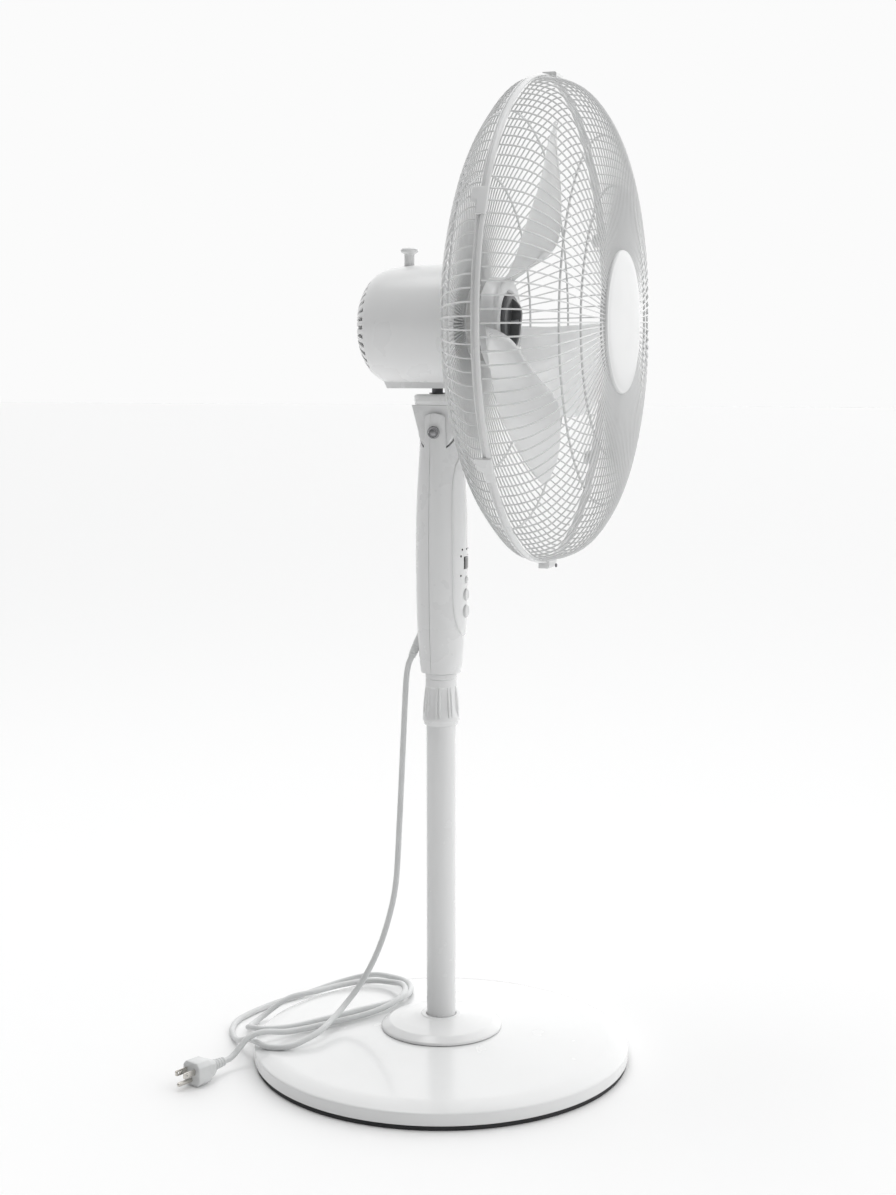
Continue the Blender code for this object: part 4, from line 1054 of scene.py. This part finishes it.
KNOB = middle_of("swing_knob")
UNDERSIDE = (0.728, 0.748)                # heights that a drill runs between to pass the housing's underside
house = changed(house_shape(), drill(0, PIVOT.y, 0.0080, *UNDERSIDE),
                drill(0.004, -0.0265, 0.0042, *UNDERSIDE),
                drill(0, KNOB.y, 0.0066, 0.86, 0.88))
piece("motor_housing", house, "head", shell_white, ("motor_cover",), 32)
print("motor housing faces:", len(house[1]))

# %% [markdown]
# ## Swing knob
# The plunger on top of the housing starts and stops the swing. It has a plain stem and a mushroom head with
# a shallow dish, and rides on its own body because it slides.

# %% Turn the knob
def knob_shape():
    low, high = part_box("swing_knob")
    outline = [(0, low.z + 0.0006), (0.0054, low.z + 0.0006), (0.0054, 0.8800), (0.0062, 0.8812),
               (0.0092, 0.8826), (0.0095, 0.8842),
               (0.0090, 0.8860), (0.0060, 0.8874), (0.0040, high.z - 0.0010), (0, high.z - 0.0012)]
    return moved(revolve(softened(outline, 0.0005), 64), Matrix.Translation((0, KNOB.y, 0)))


piece("swing_plunger", knob_shape(), "swing_knob", shell_white, ("swing_knob",))

# %% [markdown]
# ## Wire guards
# Each half of the guard is about a hundred and twenty thin steel wires, bent alike and welded to a few
# rings, then dipped in white. Solid bars would look wrong from every side, so each wire is a swept tube.
# One wire is bent along a smooth profile and then copied round the fan axis, which keeps the mesh light and
# the spacing even.

# %% Bend and weld the guards
WIRES = 120
WIRE, HOOP = 0.00085, 0.0012              # radii of a radial wire and of a welded ring
REAR_PROFILE = ((0.0300, 0.0385), (0.0770, 0.0400), (0.1200, 0.0460), (0.1550, 0.0530), (0.2050, 0.0730),
                (0.2320, 0.0920), (0.2440, 0.1040), (0.2465, 0.1130))
FRONT_PROFILE = ((0.0700, 0.1958), (0.0800, 0.1953), (0.1180, 0.1925), (0.1700, 0.1865), (0.2050, 0.1765),
                 (0.2320, 0.1585), (0.2430, 0.1400), (0.2465, 0.1225))
REAR_RINGS = (0.0405, 0.1530, 0.2160)
FRONT_RINGS = (0.0765, 0.1370, 0.1870)


def guard_line(profile, steps=3):
    return [point.to_2d() for point in smooth_line([(r, h, 0) for r, h in profile], steps)]


def height_at(line, radius):
    for one, two in zip(line, line[1:]):
        if one.x <= radius <= two.x:
            return one.y + (two.y - one.y) * (radius - one.x) / (two.x - one.x)
    return line[-1].y


def around(radius, ahead, thick, steps=180, sides=8):
    turns = [2 * math.pi * k / steps for k in range(steps)]
    path = [Vector((radius * math.cos(a), -ahead, FAN.z + radius * math.sin(a))) for a in turns]
    return sweep(path, thick, sides, True)


def guard_shape(profile, rings, side, offset=0.0):
    line = guard_line(profile)
    wire = sweep([Vector((point.x, -point.y, 0)) for point in line], WIRE, 6)
    shapes = []
    for k in range(WIRES):
        turn = Matrix.Rotation(2 * math.pi * (k + offset) / WIRES, 4, "Y")
        shapes.append(moved(wire, Matrix.Translation(FAN) @ turn))
    for radius in rings:
        shapes.append(around(radius, height_at(line, radius) + side * (WIRE + HOOP) * 0.9, HOOP))
    return joined(shapes)


def mount_plate_shape():
    """The pressed ring at the back of the rear guard, which the plastic nut clamps."""
    outline = [(0.0300, 0.0374), (0.0400, 0.0374), (0.0425, 0.0381), (0.0425, 0.0397), (0.0400, 0.0392),
               (0.0300, 0.0392)]
    return moved(revolve(softened(outline, 0.0004), 96, "ahead"), Matrix.Translation(FAN))


rear = piece("guard_back", guard_shape(REAR_PROFILE, REAR_RINGS, 1), "head", wire_white,
             ("rear_guard",))
front = piece("guard_front", guard_shape(FRONT_PROFILE, FRONT_RINGS, -1, 0.5), "head", wire_white,
              ("front_guard",))
piece("guard_mount_plate", mount_plate_shape(), "head", wire_white)
print("wires:", 2 * WIRES, "faces:", len(rear.data.polygons) + len(front.data.polygons))

# %% [markdown]
# ## Guard ring, clips and latch
# A plastic ring holds the two halves together. Its section is a channel: a smooth outer band, a groove at
# the back, and a rib inside that both halves rest on. Small hooked clips grip it, a block with a latch
# closes it at the top, and a lug with a screw does so at the bottom.

# %% Mould the ring and its fittings
RING = size_of("guard_ring").x / 2
RING_AHEAD = 0.118
CLIPS = ((155, 0.0018), (215, 0.0018), (25, 0.0018), (325, 0.0018))


def ring_shape():
    a = RING_AHEAD
    outline = [(RING - 0.0052, a - 0.0010), (RING - 0.0022, a - 0.0010), (RING - 0.0022, a - 0.0042),
               (RING - 0.0010, a - 0.0042), (RING - 0.0010, a - 0.0030), (RING - 0.0024, a - 0.0026),
               (RING - 0.0024, a - 0.0006), (RING - 0.0004, a - 0.0002), (RING, a + 0.0006),
               (RING, a + 0.0032),
               (RING - 0.0008, a + 0.0044), (RING - 0.0022, a + 0.0044), (RING - 0.0022, a + 0.0010),
               (RING - 0.0052, a + 0.0010)]
    return moved(revolve(softened(outline, 0.0005, 2), 288, "ahead"), Matrix.Translation(FAN))


def hook_shape(angle, spread, outer, low, high, foot=0.0):
    """A curved block over the ring, with a thin hooked foot that reaches over the rear wires."""
    loops, steps = [], 12
    for k in range(steps + 1):
        turn = math.radians(angle + spread * (2 * k / steps - 1))
        u, v = math.cos(turn), math.sin(turn)
        back = low - (foot if k < steps * 0.55 else 0.0)
        inner = RING - 0.0020
        section = [(inner, high), (RING + outer * 0.7, high), (RING + outer, high - 0.0012),
                   (RING + outer, low),
                   (RING - 0.0010 + outer * 0.5, back), (inner - 0.0005, back), (inner, low)]
        loops.append([(r * u, -h, FAN.z + r * v) for r, h in section])
    return changed(loft(loops), edged(0.0005, 3, 40))


def screw_shape():
    place = middle_of("ring_screw")
    outline = [(0, 0.0), (0.0021, 0.0), (0.0021, 0.0011), (0.0012, 0.0018), (0, 0.0020)]
    slot = slab(((-0.003, -0.0003), (0.003, -0.0003), (0.003, 0.0003), (-0.003, 0.0003)), -0.003, 0.003)
    head = changed(revolve(softened(outline, 0.0002), 40, "ahead"),
                   minus(moved(slot, Matrix.Translation((0, -0.0030 - 0.0014, 0)))))
    return moved(head, Matrix.Translation((place.x, place.y + 0.0008, place.z)))


piece("guard_hoop", ring_shape(), "head", ring_white, ("guard_ring",), 30)
CLIP_LOW, CLIP_HIGH = RING_AHEAD - 0.0046, RING_AHEAD + 0.0050
for number, (angle, outer) in enumerate(CLIPS):
    clip = hook_shape(angle, 3.2, outer, CLIP_LOW, CLIP_HIGH, 0.007)
    piece(f"guard_clip_{number + 1}", clip, "head", ring_white)
lug = hook_shape(270, 3.4, 0.0058, CLIP_LOW, CLIP_HIGH + 0.002)
latch = hook_shape(90, 3.0, 0.0029, CLIP_LOW + 0.0004, CLIP_HIGH + 0.0055)
piece("guard_lug", lug, "head", ring_white)
piece("top_latch", latch, "head", ring_white, ("ring_latch",))
piece("lug_screw", screw_shape(), "head", dark_steel, ("ring_screw",))
print("ring radius", round(RING, 4), "with", len(CLIPS), "clips")

# %% [markdown]
# ## Badge
# The round plate in the middle of the front guard is plain and slightly domed, with a rolled rim that
# covers the wires' ends. It carries no name. A faint ring near its edge keeps the plate from looking like a
# flat disc.

# %% Turn the badge
BADGE = size_of("badge").x / 2
BADGE_FRONT = -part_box("badge")[0].y


def badge_shape():
    dome = [(BADGE * k / 14, BADGE_FRONT - 0.0002 - 0.0018 * (k / 14) ** 2) for k in range(13)]
    rim = softened([(BADGE - 0.0058, BADGE_FRONT - 0.0020), (BADGE - 0.0042, BADGE_FRONT - 0.0024),
                    (BADGE - 0.0010, BADGE_FRONT - 0.0026), (BADGE, BADGE_FRONT - 0.0042),
                    (BADGE, BADGE_FRONT - 0.0070), (BADGE - 0.0018, BADGE_FRONT - 0.0070),
                    (BADGE - 0.0030, BADGE_FRONT - 0.0046), (BADGE - 0.0200, BADGE_FRONT - 0.0034)],
                    0.0006, 3, False)
    return moved(revolve(dome + rim + [(0, BADGE_FRONT - 0.0026)], 192, "ahead"), Matrix.Translation(FAN))


piece("front_badge", badge_shape(), "head", badge_white, ("badge",), 40)
print("badge radius", round(BADGE, 4))

# %% [markdown]
# ## Blades and their nut
# Three broad blades sweep back from a shallow hub. A blade's section at each radius is a thin cambered
# strip, set at an angle so that one edge leads at the back and the other trails at the front. A row of such
# strips from hub to tip makes the skin. The dark nut in the middle holds the hub on the shaft, and a raised
# bar gives it a grip.

# %% Mould the rotor
HUB = 0.048
BLADES = 3
BLADE_BOW = 0.10                          # camber, as a share of the blade's depth
ROOT_LIFT, ROOT_AT, ROOT_SPREAD = 0.018, 0.060, 0.018      # the scoop where a blade leaves the hub
# radius, then the rear edge's turn in degrees and its distance ahead, then the same for the front edge
BLADE_EDGES = ((0.0468, 25, 0.064, -26, 0.072), (0.062, 23, 0.069, -28, 0.104),
               (0.080, 20, 0.076, -30, 0.132),
               (0.105, 17, 0.083, -31, 0.145), (0.150, 11, 0.100, -30, 0.151), (0.185, 2, 0.115, -27, 0.149),
               (0.198, -5, 0.127, -24, 0.147), (0.204, -12, 0.137, -18, 0.144))


def edge_stations(steps=5):
    """More radii between the given ones, on smooth curves."""
    leads = smooth_line([(r, turn, ahead * 1000) for r, turn, ahead, _, _ in BLADE_EDGES], steps)
    trails = smooth_line([(r, turn, ahead * 1000) for r, _, _, turn, ahead in BLADE_EDGES], steps)
    return [(lead.x, lead.y, lead.z / 1000, trail.y, trail.z / 1000) for lead, trail in zip(leads, trails)]


def blade_section(station, steps=22):
    radius, lead_turn, lead_ahead, trail_turn, trail_ahead = station
    front, back = [], []
    for k in range(steps + 1):
        t = k / steps
        angle = math.radians(lead_turn + (trail_turn - lead_turn) * t)
        bow = BLADE_BOW * math.sin(math.pi * t) * (trail_ahead - lead_ahead)
        lift = ROOT_LIFT * math.exp(-((radius - ROOT_AT) / ROOT_SPREAD) ** 2) * math.sin(math.pi * t ** 0.5)
        ahead = lead_ahead + (trail_ahead - lead_ahead) * t + bow + lift
        thick = 0.0009 * (1 - 0.75 * abs(2 * t - 1) ** 4)
        front.append((radius * math.sin(angle), -ahead - thick, radius * math.cos(angle)))
        back.append((radius * math.sin(angle), -ahead + thick, radius * math.cos(angle)))
    return front + back[::-1]


def blade_skin(turn):
    loops = [blade_section(station) for station in edge_stations()]
    return moved(loft(loops), Matrix.Translation(FAN) @ Matrix.Rotation(turn, 4, "Y"))


def hub_shape():
    outline = [(0.0042, 0.0500), (0.0120, 0.0500), (0.0120, 0.0690), (HUB - 0.0030, 0.0705),
               (HUB - 0.0022, 0.0570),
               (HUB, 0.0570), (HUB, 0.0740), (HUB - 0.0030, 0.0762), (0.0345, 0.0768), (0.0325, 0.0730),
               (0.0042, 0.0730)]
    return moved(revolve(softened(outline, 0.0012, 4), 96, "ahead"), Matrix.Translation(FAN))


def blade_nut_shape():
    outline = [(0.0042, 0.0735), (0.0310, 0.0735), (0.0310, 0.0775), (0.0285, 0.0795), (0.0220, 0.0800),
               (0.0180, 0.0788), (0.0042, 0.0788)]
    return moved(revolve(softened(outline, 0.0008), 96, "ahead"), Matrix.Translation(FAN))


def nut_grip_shape():
    """The raised bar across the nut, curved like an S so that fingers can turn it."""
    loops = []
    for k in range(21):
        t = k / 10 - 1
        x, z = 0.0040 * math.sin(math.pi * t), 0.0255 * t
        wide = 0.0042 * (1 - 0.25 * t ** 2)
        tall = 0.0885 - 0.0085 * t ** 4
        loops.append([(x - wide, -0.0775, z), (x + wide, -0.0775, z), (x + wide * 0.75, -tall, z),
                      (x - wide * 0.75, -tall, z)])
    return moved(changed(loft(loops), edged(0.0008, 3, 40)), Matrix.Translation(FAN))


skins = [blade_skin(2 * math.pi * k / BLADES) for k in range(BLADES)]
piece("blade_hub", hub_shape(), "rotor", blade_white, ("fan_blade",), 40)
for number, skin in enumerate(skins):
    piece(f"blade_{number + 1}", skin, "rotor", blade_white, (), 50)
piece("blade_lock_nut", blade_nut_shape(), "rotor", dark_plastic, ("blade_nut",))
piece("lock_nut_grip", nut_grip_shape(), "rotor", dark_plastic)
print("blades:", BLADES, "tip radius", BLADE_EDGES[-1][0])

# %% [markdown]
# ## What the shells hide
# The motor, the swing gear, the clamp and the weights already have their true shapes in the frame, so these
# nodes stay. They show through the slots and below the housing, and each gets the finish of its own stuff.

# %% Finish the inner nodes
INNER_FINISHES = {
    bare_steel: ("tube_socket", "base_bolt", "link_post", "end_bell_front", "end_bell_rear", "swivel_block",
                 "motor_shaft"),
    core_steel: ("stator_core", "rotor_core"),
    bright_tube: ("inner_tube",),
    dark_steel: ("pivot_shaft", "link_bar"),
    cast_grey: ("gearbox", "crank_disc"),
    copper: ("winding_front", "winding_rear"),
    bronze: ("bearing_front", "bearing_rear", "pivot_bush"),
    nylon: ("clamp_collet", "column_ferrule", "guard_nut"),
    dark_plastic: ("run_capacitor",),
    filler: ("base_weight",),
    board_green: ("control_board",),
    shell_white: ("front_plate",),
}
for material, nodes in INNER_FINISHES.items():
    for node in nodes:
        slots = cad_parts[node].data.materials
        slots.clear()
        slots.append(material)
print("inner nodes finished:", sum(len(nodes) for nodes in INNER_FINISHES.values()))

# %% [markdown]
# ## Floor and light
# A pale, matt floor runs out of sight, and a bright, even sky stands in for the walls of a studio. A broad
# soft lamp above and in front gives the shells their slow shading, and the sky, brighter on the far side,
# opens that side.

# %% Set the stage
FLOOR_REACH = 40.0
SKY_SEEN = 0.965                           # the sky as the lens sees it
SKY_LEVEL, SKY_TILT = 0.62, (0.74, -0.36, 0.50)     # its light level, and how that grows along x, y and z


def floor_material():
    finish = Finish("studio_floor", (0.92, 0.92, 0.92), 0.6, Specular_IOR_Level=0.2, Emission_Strength=0.03)
    finish.shader.inputs["Emission Color"].default_value = (1.0, 1.0, 1.0, 1.0)
    cloud = finish.noise(3.0, 2.0)
    finish.feed("Base Color", finish.blend(cloud * 0.03, finish.colour, finish.shade(0.10)))
    return finish.material


floor_corners = [Vector((x * FLOOR_REACH, y * FLOOR_REACH, 0))
                 for x, y in ((-1, -1), (1, -1), (1, 1), (-1, 1))]
floor = piece("floor", (floor_corners, [(0, 1, 2, 3)]), None, floor_material())


def soft_lamp(name, place, aim, size, power):
    lamp = bpy.data.objects.new(name, bpy.data.lights.new(name, "AREA"))
    lamp.data.shape = "DISK"
    lamp.data.size = size
    lamp.data.energy = power
    lamp.location = place
    lamp.rotation_euler = (Vector(aim) - Vector(place)).to_track_quat("-Z", "Y").to_euler()
    bpy.context.collection.objects.link(lamp)


def light_sky():
    """A sky that is even where it is seen, and lights the fan more from one side than the other."""
    world = bpy.data.worlds.new("studio")
    world.use_nodes = True
    tree = world.node_tree

    def node(kind, *links, **settings):
        made = tree.nodes.new(kind)
        for key, value in settings.items():
            setattr(made, key, value)
        for source, slot in links:
            tree.links.new(source, made.inputs[slot])
        return made

    seen = tree.nodes["Background"]
    seen.inputs["Color"].default_value = (1.0, 1.0, 1.0, 1.0)
    seen.inputs["Strength"].default_value = SKY_SEEN
    towards = node("ShaderNodeTexCoord").outputs["Generated"]
    share = node("ShaderNodeVectorMath", (towards, 0), operation="DOT_PRODUCT")
    share.inputs[1].default_value = SKY_TILT
    level = node("ShaderNodeMath", (share.outputs["Value"], 0), operation="ADD")
    level.inputs[1].default_value = SKY_LEVEL
    floor_level = node("ShaderNodeMath", (level.outputs[0], 0), operation="MAXIMUM")
    floor_level.inputs[1].default_value = 0.0
    light = node("ShaderNodeBackground", (floor_level.outputs[0], "Strength"))
    light.inputs["Color"].default_value = (1.0, 1.0, 1.0, 1.0)
    seen_directly = node("ShaderNodeLightPath").outputs["Is Camera Ray"]
    mix = node("ShaderNodeMixShader", (seen_directly, 0), (light.outputs[0], 1), (seen.outputs[0], 2))
    tree.links.new(mix.outputs[0], tree.nodes["World Output"].inputs["Surface"])
    bpy.context.scene.world = world


light_sky()
bpy.context.scene.view_settings.view_transform = "Standard"
soft_lamp("top_lamp", (-0.1, 0.5, 3.2), (0, 0, 0.4), 1.4, 12.0)
print("stage is set")
